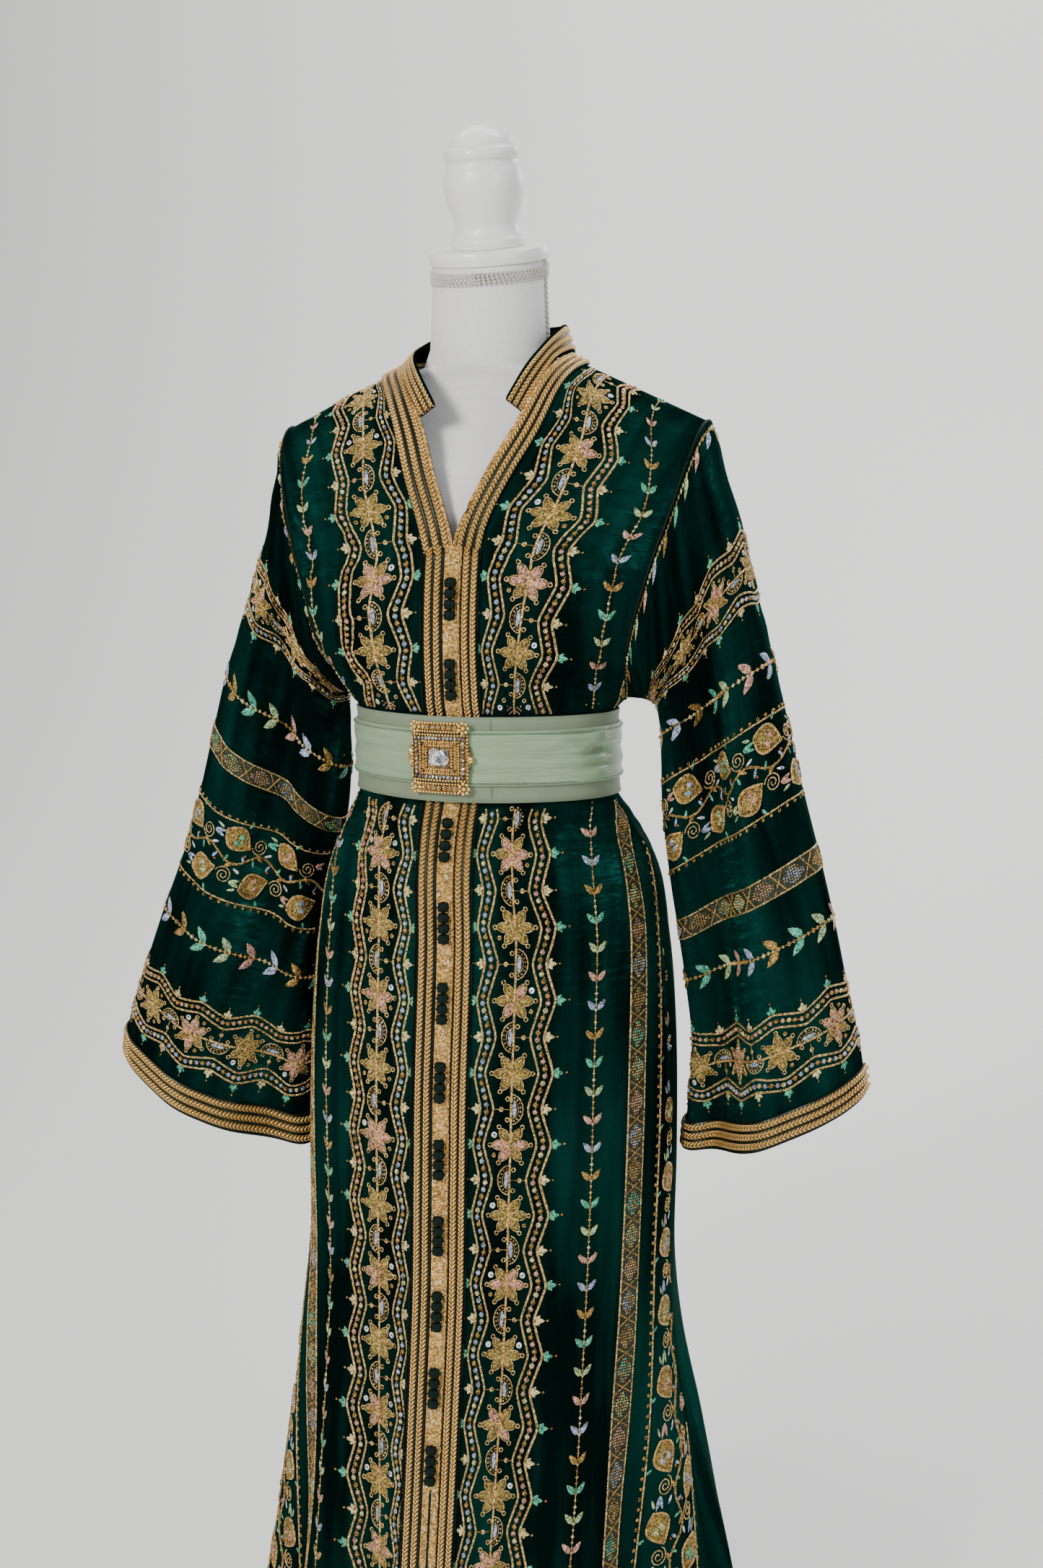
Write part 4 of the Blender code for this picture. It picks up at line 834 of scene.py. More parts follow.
@lru_cache(maxsize=None)
def gold_braid():
    """Round gold cords plaited in chevrons, with painted highlight on the strands and painted shade in the grooves
    between them and down each cord's middle, on a dark ground between the cords.
    """
    colour = Vector(choices().gold_colour)
    made = gold_metal("gold_braid", colour)
    place, across, along = made.cloth_place()
    off_cord = across.math("ABSOLUTE").math("GREATER_THAN", 1.03)
    slope = across.math("ABSOLUTE") * 0.0030
    strands = ((along - slope) * (2 * math.pi / 0.0040)).math("SINE") * 0.5 + 0.5
    wear = made.noise(made.solid_place(), 300.0, 2.0)
    groove = (across.math("ABSOLUTE") * 8.0).clipped() * 0.7 + 0.3
    # Painted highlight and shade: the colour follows the same relief as the bump, bright on the strands and dark in the
    # grooves.
    gold = made.mix((strands * 1.0 + wear * 0.5 - 0.24).clipped() * groove, colour * 0.16, colour * 1.55)
    made.set(base_color=made.mix(off_cord, gold, (0.010, 0.016, 0.010)), roughness=0.50 - strands * 0.2)
    return made.set(normal=made.bump(strands * groove * (1.0 - off_cord), 0.0011, 1.0)).material


@lru_cache(maxsize=None)
def gold_glitter():
    """A gold band set with close rows of tiny beads and crystals."""
    colour = Vector(choices().gold_colour)
    made = gold_metal("gold_glitter", colour, 0.3, 0.7)
    cells = made.node("ShaderNodeTexVoronoi", {"feature": "F1"},
                      {"Vector": made.solid_place(), "Scale": 620.0, "Randomness": 0.75})
    tone = made.node("ShaderNodeSeparateColor", None, {0: cells[1]})
    # Each cell's brightness is partly the beads' random tone and partly painted glints.
    bright = made.mix(tone[0], colour * 0.30, colour * 1.45)
    made.set(base_color=made.mix(tone[1].math("GREATER_THAN", 0.94), bright, (0.95, 0.85, 0.65)))
    made.set(roughness=0.2 + tone[2] * 0.35)
    return made.set(normal=made.bump(1.0 - cells[0] * 2.0, 0.0009, 0.9)).material


@lru_cache(maxsize=None)
def embroidery():
    """Thread, beads and sequins, each in the colour of its own tint, speckled lighter and darker as painted glints with
    some random tone, and as metallic as the tint's alpha.
    """
    made = Finish("embroidery", (0.6, 0.4, 0.2), 0.4, 0.4, specular_ior_level=0.5)
    tint = made.node("ShaderNodeAttribute", {"attribute_name": "tint"})
    cells = made.node("ShaderNodeTexVoronoi", {"feature": "F1"},
                      {"Vector": made.solid_place(), "Scale": 760.0, "Randomness": 0.7})
    spark = made.node("ShaderNodeSeparateColor", None, {0: cells[1]})
    # Painted glints: random cells scale each tint from dark to bright, standing in for sparkle, with some random tone.
    bright = 0.16 + spark[0] * 1.45
    shade = made.node("ShaderNodeVectorMath", {"operation": "SCALE"}, {0: tint[0], "Scale": bright * 0.92})[0]
    made.set(base_color=shade, metallic=tint[3], roughness=0.24 + spark[1] * 0.3)
    return made.set(normal=made.bump(1.0 - cells[0] * 2.0, 0.0007, 0.7)).material


@lru_cache(maxsize=None)
def plain_cloth(name, colour, roughness, sheen, gloss=0.5):
    """Matt or silky cloth with a fine even weave."""
    made = Finish(name, colour, roughness, sheen_weight=sheen, specular_ior_level=gloss)
    weave = made.noise(made.solid_place(), 1400.0, 1.0)
    tone = made.noise(made.solid_place(), 40.0, 3.0)
    made.set(base_color=made.mix(tone, Vector(colour) * 0.85, Vector(colour) * 1.1))
    return made.set(normal=made.bump(weave, 0.0004, 0.5)).material


@lru_cache(maxsize=None)
def belt_satin():
    colour = Vector(choices().belt_colour)
    made = Finish("belt_satin", colour, 0.34, sheen_weight=0.2, specular_ior_level=0.5)
    place, across, along = made.cloth_place()
    folds = made.noise(made.stretched(place, (1.0, 14.0, 1.0)), 14.0, 3.0)
    # Painted shade in the folds: the noise that bumps the strip also makes its colour darker in the folds and lighter
    # on their ridges.
    made.set(base_color=made.mix(folds, colour * 0.66, colour * 1.12))
    return made.set(normal=made.bump(folds, 0.0026, 0.9)).material


@lru_cache(maxsize=None)
def buckle_gold():
    made = gold_metal("buckle_gold", Vector((0.92, 0.62, 0.23)), 0.24, 1.0)
    wear = made.noise(made.solid_place(), 180.0, 3.0)
    return made.set(roughness=0.08 + wear * 0.24).material


@lru_cache(maxsize=None)
def buckle_ground():
    """The plate under the buckle's beads, cast, and dark between them with painted shade."""
    made = gold_metal("buckle_ground", Vector((0.34, 0.19, 0.055)), 0.4, 0.9)
    cast = made.noise(made.solid_place(), 420.0, 3.0)
    # Painted shade between the beads: the colour runs from near black to gold with the same cast noise that bumps the
    # plate.
    made.set(base_color=made.mix((cast * 2.4 - 0.8).clipped(), (0.020, 0.010, 0.003), (0.42, 0.24, 0.07)))
    return made.set(normal=made.bump(cast, 0.0016, 1.0)).material


@lru_cache(maxsize=None)
def crystal():
    made = Finish("crystal", (0.60, 0.68, 0.76), 0.03, 0.75, coat_weight=1.0, specular_ior_level=1.0)
    facets = made.node("ShaderNodeTexVoronoi", {"feature": "F1"}, {"Vector": made.solid_place(), "Scale": 260.0})
    tone = made.node("ShaderNodeSeparateColor", None, {0: facets[1]})
    # Painted reflections: each facet gets a colour from dark to near white, standing in for the light and dark it
    # reflects.
    made.set(base_color=made.mix(tone[0], (0.10, 0.13, 0.17), (0.95, 0.97, 1.0)))
    return made.set(normal=made.bump(facets[0] * 3.0 + tone[1], 0.0010, 1.0)).material


@lru_cache(maxsize=None)
def linen():
    """Plain woven cover of the dress form."""
    made = Finish("linen", (0.74, 0.74, 0.73), 0.88, sheen_weight=0.15)
    place = made.solid_place()
    warp = made.noise(made.stretched(place, (1.0, 1.0, 0.12)), 1500.0, 1.0)
    weft = made.noise(made.stretched(place, (0.12, 0.12, 1.0)), 1500.0, 1.0)
    made.set(base_color=made.mix(warp * 0.5 + weft * 0.5, (0.62, 0.62, 0.61), (0.84, 0.84, 0.83)))
    return made.set(normal=made.bump(warp + weft, 0.0006, 0.6)).material


@lru_cache(maxsize=None)
def painted_wood():
    made = Finish("painted_wood", (0.80, 0.80, 0.79), 0.34, coat_weight=0.15)
    brushed = made.noise(made.stretched(made.solid_place(), (1.0, 1.0, 5.0)), 60.0, 3.0)
    made.set(roughness=0.28 + brushed * 0.16)
    return made.set(normal=made.bump(brushed, 0.0004, 0.4)).material


@lru_cache(maxsize=None)
def stand_paint():
    made = Finish("stand_paint", (0.74, 0.74, 0.73), 0.4, 0.0)
    grain = made.noise(made.solid_place(), 420.0, 2.0)
    return made.set(normal=made.bump(grain, 0.0003, 0.4), roughness=0.34 + grain * 0.15).material


# The garment's panels and sleeves
def panel(name, cloth, replaces):
    mesh = grid_mesh(name, cloth.grid, cloth.places(), cloth.normals)
    area = mesh_area(mesh)
    piece = piece_from(name, mesh, satin(), (replaces,), CLOTH)


def cut_panels():
    panel("satin_front_right", front_cloth(-1), "front_right")
    panel("satin_front_left", front_cloth(1), "front_left")
    panel("satin_back", back_cloth(), "back")


def cut_sleeves():
    for side in (-1, 1):
        name = f"sleeve_{WEARERS_SIDE[side]}"
        cloth = sleeve_cloth(side)
        mesh = grid_mesh(f"satin_{name}", cloth.grid, cloth.places(), cloth.normals, closed=True)
        area = mesh_area(mesh)
        piece = piece_from(f"satin_{name}", mesh, satin(), (name,), CLOTH)
        sleeve_end(side, name, cloth)


def sleeve_end(side, name, cloth):
    """The lining turned up inside the sleeve's mouth, and three gold cords round its hem."""
    rows = [0, 1, 2, 3, 5, 7, 9, 11, 13]
    inner = cloth.grid[rows] - cloth.normals[rows] * (CLOTH + LINING_GAP)
    mesh = grid_mesh(f"lining_{name}", inner, cloth.places()[rows], cloth.normals[rows], closed=True)
    area = mesh_area(mesh)
    lining = piece_from(f"lining_{name}", mesh, plain_cloth("sleeve_lining", (0.045, 0.085, 0.058), 0.5, 0.3),
                        (f"{name}_lining",), LINING)
    places, heights, sides = cord_profile(0.0262, 3, 0.0020, 0.0026)
    rings = SLEEVE_RINGS * np.array([0.002, 0.045])
    bottom, top = (np.array([between(f, np.full(SLEEVE_SPANS + 1, r), np.arange(SLEEVE_SPANS + 1))
                             for f in (cloth.grid, cloth.normals)]) for r in rings)
    grid, normals = strip_grid(bottom[0], top[0], bottom[1], top[1], places, heights, 0.0013 + BRAID_BASE)
    grid, sides = wrapped(grid, normals[:, [0] + list(range(len(places))) + [-1]][:, 1:-1], sides, 0.0)
    mesh = grid_mesh(f"braid_{name}_hem", grid, strip_uv(grid, sides), facing_of(bottom[1], grid), closed=True)
    piece_from(f"braid_{name}_hem", mesh, gold_braid(), (f"{name}_hem_braid",), BRAID_BASE)


def facing_of(normals, grid):
    """One normal for each station of a strip, spread over its width."""
    return np.broadcast_to(normals[:, None], grid.shape)


# Braids
def front_lines(start, end):
    skirt, yoke = fine_rows()
    yoke = [s for s in yoke if s < PLACKET_TOP] + [V_SHARE + 0.001]
    left, right = (line_on_front(place, skirt, yoke) for place in (start, end))
    normals = []
    for line in (left, right):
        normal = unit(np.cross(right - left, np.gradient(line, axis=0)))
        normals.append(np.where(normal[:, 1:2] > 0, -normal, normal))
    return left, right, *normals


def lay_strip(name, lines, profile, lift, material, replaces):
    places, heights, sides = profile
    grid, normals = strip_grid(*lines, places, heights, lift + BRAID_BASE)
    grid = np.concatenate([grid[:, :1] - normals[:, :1] * BRAID_BASE, grid,
                           grid[:, -1:] - normals[:, -1:] * BRAID_BASE], axis=1)
    sides = np.concatenate([[2.0], sides, [2.0]])
    mesh = grid_mesh(name, grid, strip_uv(grid, sides), facing_of(lines[2], grid))
    return piece_from(name, mesh, material, replaces, 0.0008)


def sew_placket():
    lay_strip("cords_placket_right", front_lines(-PLACKET_EDGE, BAND_LEFT - SEAM),
              cord_profile(0.0199, 2, 0.0022, 0.0030), BRAID_LIFT, gold_braid(), ("placket_braid_right",))
    lay_strip("cords_placket_left", front_lines(BAND_RIGHT + SEAM, NARROW_EDGE),
              cord_profile(0.0151, 2, 0.0012, 0.0022), BRAID_LIFT, gold_braid(), ("placket_braid_left",))
    places = np.array([0.0, 0.0009, 0.0016, 0.0022, 0.0034, 0.0081, 0.0128, 0.0140, 0.0146, 0.0153, 0.0162])
    heights = np.array([0.0, 0.0014, 0.0016, 0.0009, 0.0011, 0.0013, 0.0011, 0.0009, 0.0016, 0.0014, 0.0])
    lay_strip("glitter_button_band", front_lines(BAND_LEFT, BAND_RIGHT), (places, heights, places * 0),
              BRAID_LIFT, gold_glitter(), ("button_band",))


def sew_picots(name, offset, side):
    """A row of tiny dark loops along the outer edge of the placket's cords."""
    line, _, normals, _ = front_lines(offset, offset + 0.001)
    lengths = lengths_up(line[:, None], 0)
    steps = np.linspace(0, lengths[-1], int(lengths[-1] / 0.00115))
    line, normals = (np.stack([np.interp(steps, lengths, f[:, k]) for k in range(3)], axis=-1) for f in (line, normals))
    loops = np.sin(steps * 2 * math.pi / 0.0034)
    line = line + normals * (BRAID_LIFT + 0.0012) + np.array([side * 0.0007, 0.0, 0.0]) * loops[:, None]
    cord_along(f"picots_placket_{name}", line, 0.0010, knot_silk(), 4)


def sew_armholes():
    """A dark cord stitched round each armhole seam."""
    turns = np.linspace(0, 2 * math.pi, 181)
    for side, name in WEARERS_SIDE.items():
        line = smoothed(armhole_point(side, turns), 3)
        middle = line.mean(axis=0)
        line = line + unit((line - middle) * (0.0, 1.0, 1.0)) * 0.0010 + np.array([side * 0.0003, 0.0, 0.0])
        cord_along(f"cord_armhole_{name}", line, 0.0013, knot_silk())


def cut_slit():
    """The opening below the last knots shows as a dark line down the band: a dark cord laid there as painted shade in
    the gap.
    """
    last = FIRST_BUTTON_TOP - (BUTTON_GROUPS - 1) * BUTTON_PITCH - KNOTS_IN_GROUP * KNOT_PITCH
    line = front_height((BAND_LEFT + BAND_RIGHT) / 2, np.linspace(last - 0.004, 0.012, 90))
    # A dark cord as painted shade in the opening.
    cord_along("slit_shade_line", line, 0.0011, knot_silk(), 6)


def neckline_surface(places):
    """The surface under the neckline braid, from the V point up the wearer's right side, round the back and down
    the left side: one row for each station, one column for each place across the braid."""
    shares = [V_SHARE - 0.022, V_SHARE - 0.011, *(s for s in fine_rows()[1] if s >= V_SHARE)]
    share_across = places / places[-1]
    sides = {}
    for side, name in WEARERS_SIDE.items():
        rows = []
        for share in shares:
            start = float(neck_edge(side, share, "x"))
            arm = float(column(YOKE, YOKE_COLUMNS, f"arm_x_{name}", share))
            width = NECK_BRAID_WIDTH * (1.06 - 0.26 * float(ease((share - 0.75) / 0.25)))
            if side > 0:
                width *= 0.88 - 0.10 * float(ease((share - V_SHARE) / 0.12))
            across = 0.006 + width / abs(arm - start) * share_across
            rows.append(yoke_point(side, across, np.full(len(places), share)))
        sides[name] = rows
    back = []
    for near in np.linspace(-0.93, 0.93, 45) * NECK_SHARE:
        swing = math.pi / 2 * (1 - abs(near) / NECK_SHARE)
        across = near * (1 + 0.25 * share_across * abs(near) / NECK_SHARE)
        back.append(back_point(across, 1 - 0.115 * share_across * math.sin(swing)))
    return np.array(sides["right"] + back + sides["left"][::-1]), len(shares)


def smoothed(rows, times):
    for _ in range(times):
        rows = rows.copy()
        rows[1:-1] = (rows[:-2] + 2 * rows[1:-1] + rows[2:]) / 4
    return rows


def sew_neckline():
    places, heights, sides = cord_profile(NECK_BRAID_WIDTH, 3, 0.0014, 0.0034)
    grid, front = neckline_surface(places)
    normals = unit(smoothed(unit(np.cross(np.gradient(grid, axis=1), np.gradient(grid, axis=0))), 8))
    normals = normals if (normals * (grid - np.array([0.0, 0.0, 1.38]))).sum() > 0 else -normals
    stations = np.arange(len(grid))
    back = ease((stations - front + 5) / 6) * ease((len(grid) - front + 5 - stations) / 6)
    lift = NECK_BRAID_LIFT + (NECK_BRAID_LIFT_AT_BACK - NECK_BRAID_LIFT) * back
    lift = lift - 0.0030 * (1 - ease(np.minimum(stations, stations[::-1]) / 3))
    top = smoothed(grid, 2) + normals * (lift[:, None] + BRAID_BASE + heights)[..., None]
    top = np.concatenate([top[:, :1] - normals[:, :1] * BRAID_BASE, top, top[:, -1:] - normals[:, -1:] * BRAID_BASE],
                         axis=1)
    sides = np.concatenate([[2.0], sides, [2.0]])
    mesh = grid_mesh("cords_neckline", top, strip_uv(top, sides), facing_of(normals[:, 4], top))
    piece_from("cords_neckline", mesh, gold_braid(), ("neckline_braid",), 0.0008)
    edge = grid[:, 0] + normals[:, 0] * (lift + BRAID_BASE)[:, None]
    cord_along("glitter_neckline_edge", edge, 0.0017, gold_glitter())


def collar_lines():
    shares = np.linspace(0, 1, 121)
    seam, edge = (np.stack([column(COLLAR, COLLAR_COLUMNS, f"{line}_{k}", shares) for k in "xyz"], axis=-1)
                  for line in ("seam", "edge"))
    seam[:, 2] += 0.0032
    normals = unit(np.cross(edge - seam, np.gradient(seam, axis=0)))
    outward = (normals[:, :2] * (seam[:, :2] - np.array([0.003, 0.0]))).sum()
    normals = unit(smoothed(normals if outward > 0 else -normals, 12))
    return seam, edge, normals


def sew_collar():
    """A stiff band: satin inside and on its edges, three gold cords round the outside."""
    seam, edge, normals = collar_lines()
    places, heights, sides = cord_profile(0.0235, 3, 0.0004, 0.0027)
    share = (places / places[-1])[None, :, None]
    base = seam[:, None] * (1 - share) + edge[:, None] * share
    top = base + normals[:, None] * (CLOTH + heights)[None, :, None]
    mesh = grid_mesh("cords_collar", top, strip_uv(top, sides), facing_of(normals, top))
    piece_from("cords_collar", mesh, gold_braid(), ("collar",), 0.0006)
    inner = base + normals[:, None] * (CLOTH - 0.0007)
    uv = np.stack(np.broadcast_arrays(places[None, :], lengths_up(inner, 0)[:, None]), axis=-1)
    mesh = grid_mesh("satin_collar", inner, uv, facing_of(normals, inner))
    area = mesh_area(mesh)
    collar = piece_from("satin_collar", mesh, satin(), (), CLOTH - 0.0007)
    for name, line in (("top", edge), ("seam", seam)):
        piping = cord_along(f"piping_collar_{name}", line + normals * CLOTH * 0.6, 0.0014, satin())
    return piping


def cord_along(name, line, radius, material, sides=8):
    """A round cord swept along a line of points."""
    line = np.asarray(line)
    ahead = unit(np.gradient(line, axis=0))
    side = unit(np.cross(ahead, np.where(np.abs(ahead[:, 2:3]) > 0.9, (1.0, 0.0, 0.0), (0.0, 0.0, 1.0))))
    other = np.cross(ahead, side)
    turns = np.linspace(0, 2 * math.pi, sides + 1)
    ring = side[:, None] * np.cos(turns)[None, :, None] + other[:, None] * np.sin(turns)[None, :, None]
    widths = np.full(len(line), radius)
    widths[[0, -1]] = radius * 0.35
    grid = line[:, None] + ring * widths[:, None, None]
    across = np.broadcast_to(turns / math.pi - 1, grid.shape[:2])
    uv = np.stack([across, np.broadcast_to(lengths_up(line[:, None], 0)[:, None], grid.shape[:2])], axis=-1)
    mesh = grid_mesh(name, grid, uv, ring, closed=True)
    return piece_from(name, mesh, material)


# Knot buttons
def front_height(offset, heights):
    """Points over the button band at heights, out by the band."""
    line, _, normals, _ = front_lines(offset, offset + 0.001)
    points = np.stack([np.interp(heights, line[:, 2], line[:, k]) for k in range(3)], axis=-1)
    return points + np.array([0.0, -(BRAID_LIFT + BRAID_BASE + 0.0012), 0.0])


def knot_shape():
    """One round knot of silk cord: a flattened ball with the cord's turns crossing over it."""
    bm = bmesh.new()
    bmesh.ops.create_uvsphere(bm, u_segments=26, v_segments=16, radius=1.0)
    mesh = bpy.data.meshes.new("knot")
    bm.to_mesh(mesh)
    bm.free()
    points = np.empty(len(mesh.vertices) * 3)
    mesh.vertices.foreach_get("co", points)
    points = points.reshape(-1, 3)
    turn, rise = np.arctan2(points[:, 0], -points[:, 1]), points[:, 2]
    turns = np.cos(3.0 * turn + rise * 5.0) * np.cos(rise * 5.2 - turn * 3.0)
    points *= (0.95 + 0.20 * turns)[:, None]
    points = points * (KNOT_WIDTH / 2 * 1.08, 0.0040, KNOT_PITCH / 2 * 1.10)
    return mesh, points


def knot_silk():
    return plain_cloth("knot_silk", (0.0010, 0.0085, 0.0060), 0.55, 0.0, 0.12)


def sew_buttons():
    silk = knot_silk()
    template, shape = knot_shape()
    middle = (BAND_LEFT + BAND_RIGHT) / 2
    for group in range(BUTTON_GROUPS):
        top = FIRST_BUTTON_TOP - group * BUTTON_PITCH
        if BELT_BOTTOM - 0.01 < top < BELT_TOP + 0.04:
            continue
        heights = top - (np.arange(KNOTS_IN_GROUP) + 0.5) * KNOT_PITCH
        centres = front_height(middle, heights) - np.array([0.0, 0.0030, 0.0])
        bm = bmesh.new()
        for _ in centres:
            bm.from_mesh(template)
        name = f"knots_{group + 1:02d}"
        mesh = bpy.data.meshes.new(name)
        bm.to_mesh(mesh)
        bm.free()
        mesh.vertices.foreach_set("co", (centres[:, None] + shape[None]).ravel())
        piece_from(name, mesh, silk, (f"buttons_{group + 1:02d}",))


# The belt
def belt_ring(angle, height, lift):
    """A ring round the waist, clear of the placket in front and close to the cloth elsewhere."""
    rows = np.array(BELT_ROWS)
    half, front, back, shift = (
        np.interp(height, rows, column(GIRTH, GIRTH_COLUMNS, n, rows)) for n in GIRTH_COLUMNS[1:]
    )
    out = BELT_GAP + lift + BELT_OVER_PLACKET * np.exp(-((angle / 26.0) ** 2))
    turn = np.radians(angle)
    deep = np.where(np.cos(turn) > 0, front, back)
    x = shift + (half + out) * np.sin(turn)
    y = -(deep + out) * np.cos(turn)
    return np.stack([x, y, np.broadcast_to(height, x.shape)], axis=-1)


def sew_belt():
    angles = np.linspace(-180.0, 180.0, 193)
    heights = np.linspace(BELT_BOTTOM, BELT_TOP, 14)
    edge = 0.0006 * (bump_at(heights, BELT_BOTTOM, 0.002) + bump_at(heights, BELT_TOP, 0.002))
    band = np.array([belt_ring(angles, np.full(len(angles), z), 0.0018 + e) for z, e in zip(heights, edge)])
    belt_piece("belt_base", band, plain_cloth("belt_band", (0.165, 0.215, 0.135), 0.6, 0.1), 0.0018)
    profile = np.array([(1.0730, -0.0008), (1.0737, 0.0016), (1.0765, 0.0022), (1.0830, 0.0008), (1.0910, 0.0025),
                        (1.1000, 0.0010), (1.1090, 0.0026), (1.1190, 0.0020), (1.1233, 0.0014), (1.1240, -0.0008)])
    heights = np.interp(np.linspace(0, 9, 37), np.arange(10), profile[:, 0])
    lifts = np.interp(np.linspace(0, 9, 37), np.arange(10), profile[:, 1])
    inside = ease(np.minimum(heights - 1.0730, 1.1240 - heights) / 0.004)
    rows = []
    for height, lift, soft in zip(heights, lifts, inside):
        waver = cloth_noise(angles / 26.0, height / 0.0085 + 0.35 * np.sin(np.radians(angles * 2)), 71)
        gathered = bump_at(angles, 66.0, 15.0) * cloth_noise(angles / 14.0, height / 0.0050, 73)
        rows.append(belt_ring(angles, np.full(len(angles), height), 0.0031 + lift + soft * (0.0011 * waver + 0.0034 * gathered)))
    belt_piece("belt_strip", np.array(rows), belt_satin(), 0.0016)
    seam = belt_ring(np.full(12, 17.0), np.linspace(BELT_BOTTOM + 0.001, BELT_TOP - 0.001, 12), 0.0022)
    cord_along("belt_base_seam", seam, 0.0007, plain_cloth("belt_band", (0.165, 0.215, 0.135), 0.6, 0.1), 6)
    for name, height in (("low", 1.0758), ("high", 1.1212)):
        line = belt_ring(angles, np.full(len(angles), height), 0.0031 + 0.0022)
        cord_along(f"belt_piping_{name}", line, 0.0008, belt_satin(), 6)


def belt_piece(name, grid, material, wall):
    across = lengths_across(grid, 0)
    uv = np.stack([across, np.broadcast_to(lengths_up(grid, 0)[:, None], across.shape)], axis=-1)
    replaced = {"belt_base": "belt_band", "belt_strip": "belt_gathered_strip"}[name]
    middle = grid.mean(axis=1, keepdims=True)
    mesh = grid_mesh(name, grid, uv, (grid - middle) * (1.0, 1.0, 0.0), closed=True)
    area = mesh_area(mesh)
    piece = piece_from(name, mesh, material, (replaced,), wall)


# Embroidery. Every motif is drawn on a strip that has s across and t along it, in metres
TINTS = {
    "gold": (0.47, 0.28, 0.075, 0.75), "bright": (0.70, 0.46, 0.17, 0.75), "olive": (0.34, 0.25, 0.06, 0.65),
    "pink": (0.62, 0.33, 0.24, 0.4), "lavender": (0.36, 0.43, 0.60, 0.3), "mint": (0.08, 0.46, 0.28, 0.3),
    "cream": (0.72, 0.60, 0.28, 0.4), "white": (0.92, 0.92, 0.94, 0.45), "sage": (0.42, 0.56, 0.26, 0.2),
    "dark": (0.022, 0.034, 0.014, 0.4), "brown": (0.16, 0.095, 0.028, 0.55), "copper": (0.60, 0.17, 0.04, 0.7),
}
LEAF_TINTS = ("mint", "gold", "lavender", "pink", "sage")
COLUMN_PITCH, BEAD_PITCH = 0.0665, 0.0066


def turned_by(points, turn, at, size=1.0):
    """A shape turned, sized and moved on its strip."""
    x, y, h = (points[..., k] * size for k in range(3))
    return np.stack([at[0] + x * math.cos(turn) - y * math.sin(turn),
                     at[1] + x * math.sin(turn) + y * math.cos(turn), h], axis=-1)


def bead_shape(radius, height, around):
    turns, rise = np.linspace(0, 2 * math.pi, around + 1)[None, :], np.array([0.0, 0.75, math.pi / 2])[:, None]
    return np.stack(np.broadcast_arrays(radius * np.cos(rise) * np.cos(turns), radius * np.cos(rise) * np.sin(turns),
                                        height * np.sin(rise)), axis=-1)


def cord_shape(path, radius, lift=0.0):
    """A half-round cord along a path of (s, t) points."""
    path = np.asarray(path, float)
    ahead = unit(np.gradient(path, axis=0))
    right = np.stack([ahead[:, 1], -ahead[:, 0]], axis=-1)
    if np.allclose(path[0], path[-1]):
        right[0] = right[-1] = unit(right[0] + right[-1])
    turns = np.array([math.pi, math.pi / 2, 0.0])
    flat = path[:, None] + right[:, None] * (radius * np.cos(turns))[None, :, None]
    high = np.broadcast_to(lift + 1.3 * radius * np.sin(turns), flat.shape[:2])
    return np.concatenate([flat, high[..., None]], axis=-1)


def pad_shape(length, half, height, rows=7, columns=5, blunt=0.75):
    """A domed leaf or petal from the origin along s."""
    t, side = np.linspace(0, 1, rows)[:, None], np.linspace(1, -1, columns)[None, :]
    width = half * np.sin(math.pi * t**blunt) ** 0.85
    high = height * (1 - 0.8 * side**2) * np.sqrt(np.clip(np.sin(math.pi * t**0.9), 0, 1))
    return np.stack(np.broadcast_arrays(length * t, width * side, high), axis=-1)


def outline(length, half, count=9, blunt=0.75):
    """The closed edge of the same leaf."""
    t = np.linspace(0, 1, count)
    width = half * np.sin(math.pi * t**blunt) ** 0.85
    path = np.stack([length * t, width], axis=-1)
    return np.concatenate([path, path[-2::-1] * (1, -1)])


def sequin_shape(radius):
    turns, steps = np.linspace(0, 2 * math.pi, 11)[None, :], np.array([[1.0, 0.0004], [0.8, 0.0009], [0.28, 0.0004]])
    return np.stack(np.broadcast_arrays(radius * steps[:, :1] * np.cos(turns), radius * steps[:, :1] * np.sin(turns),
                                        steps[:, 1:]), axis=-1)


BEAD, SEED, SEQUIN = bead_shape(0.0028, 0.0022, 6), bead_shape(0.0014, 0.0013, 4), sequin_shape(0.0030)
CIRCLE = np.stack([np.cos(np.linspace(0, 2 * math.pi, 10)), np.sin(np.linspace(0, 2 * math.pi, 10))], axis=-1)
RING = cord_shape(CIRCLE[::-1] * 0.0019, 0.00068)
PETAL = pad_shape(0.0170, 0.0037, 0.0013, blunt=1.25)
PETAL_EDGE = cord_shape(outline(0.0186, 0.0045, 10, 1.25)[::-1], 0.0006, 0.0002)
LEAF, LEAF_SMALL = pad_shape(0.0125, 0.0027, 0.0012, 5, 3), pad_shape(0.0070, 0.0020, 0.0010, 5, 3)
LEAF_LONG = pad_shape(0.0165, 0.0024, 0.0012, 6, 3)


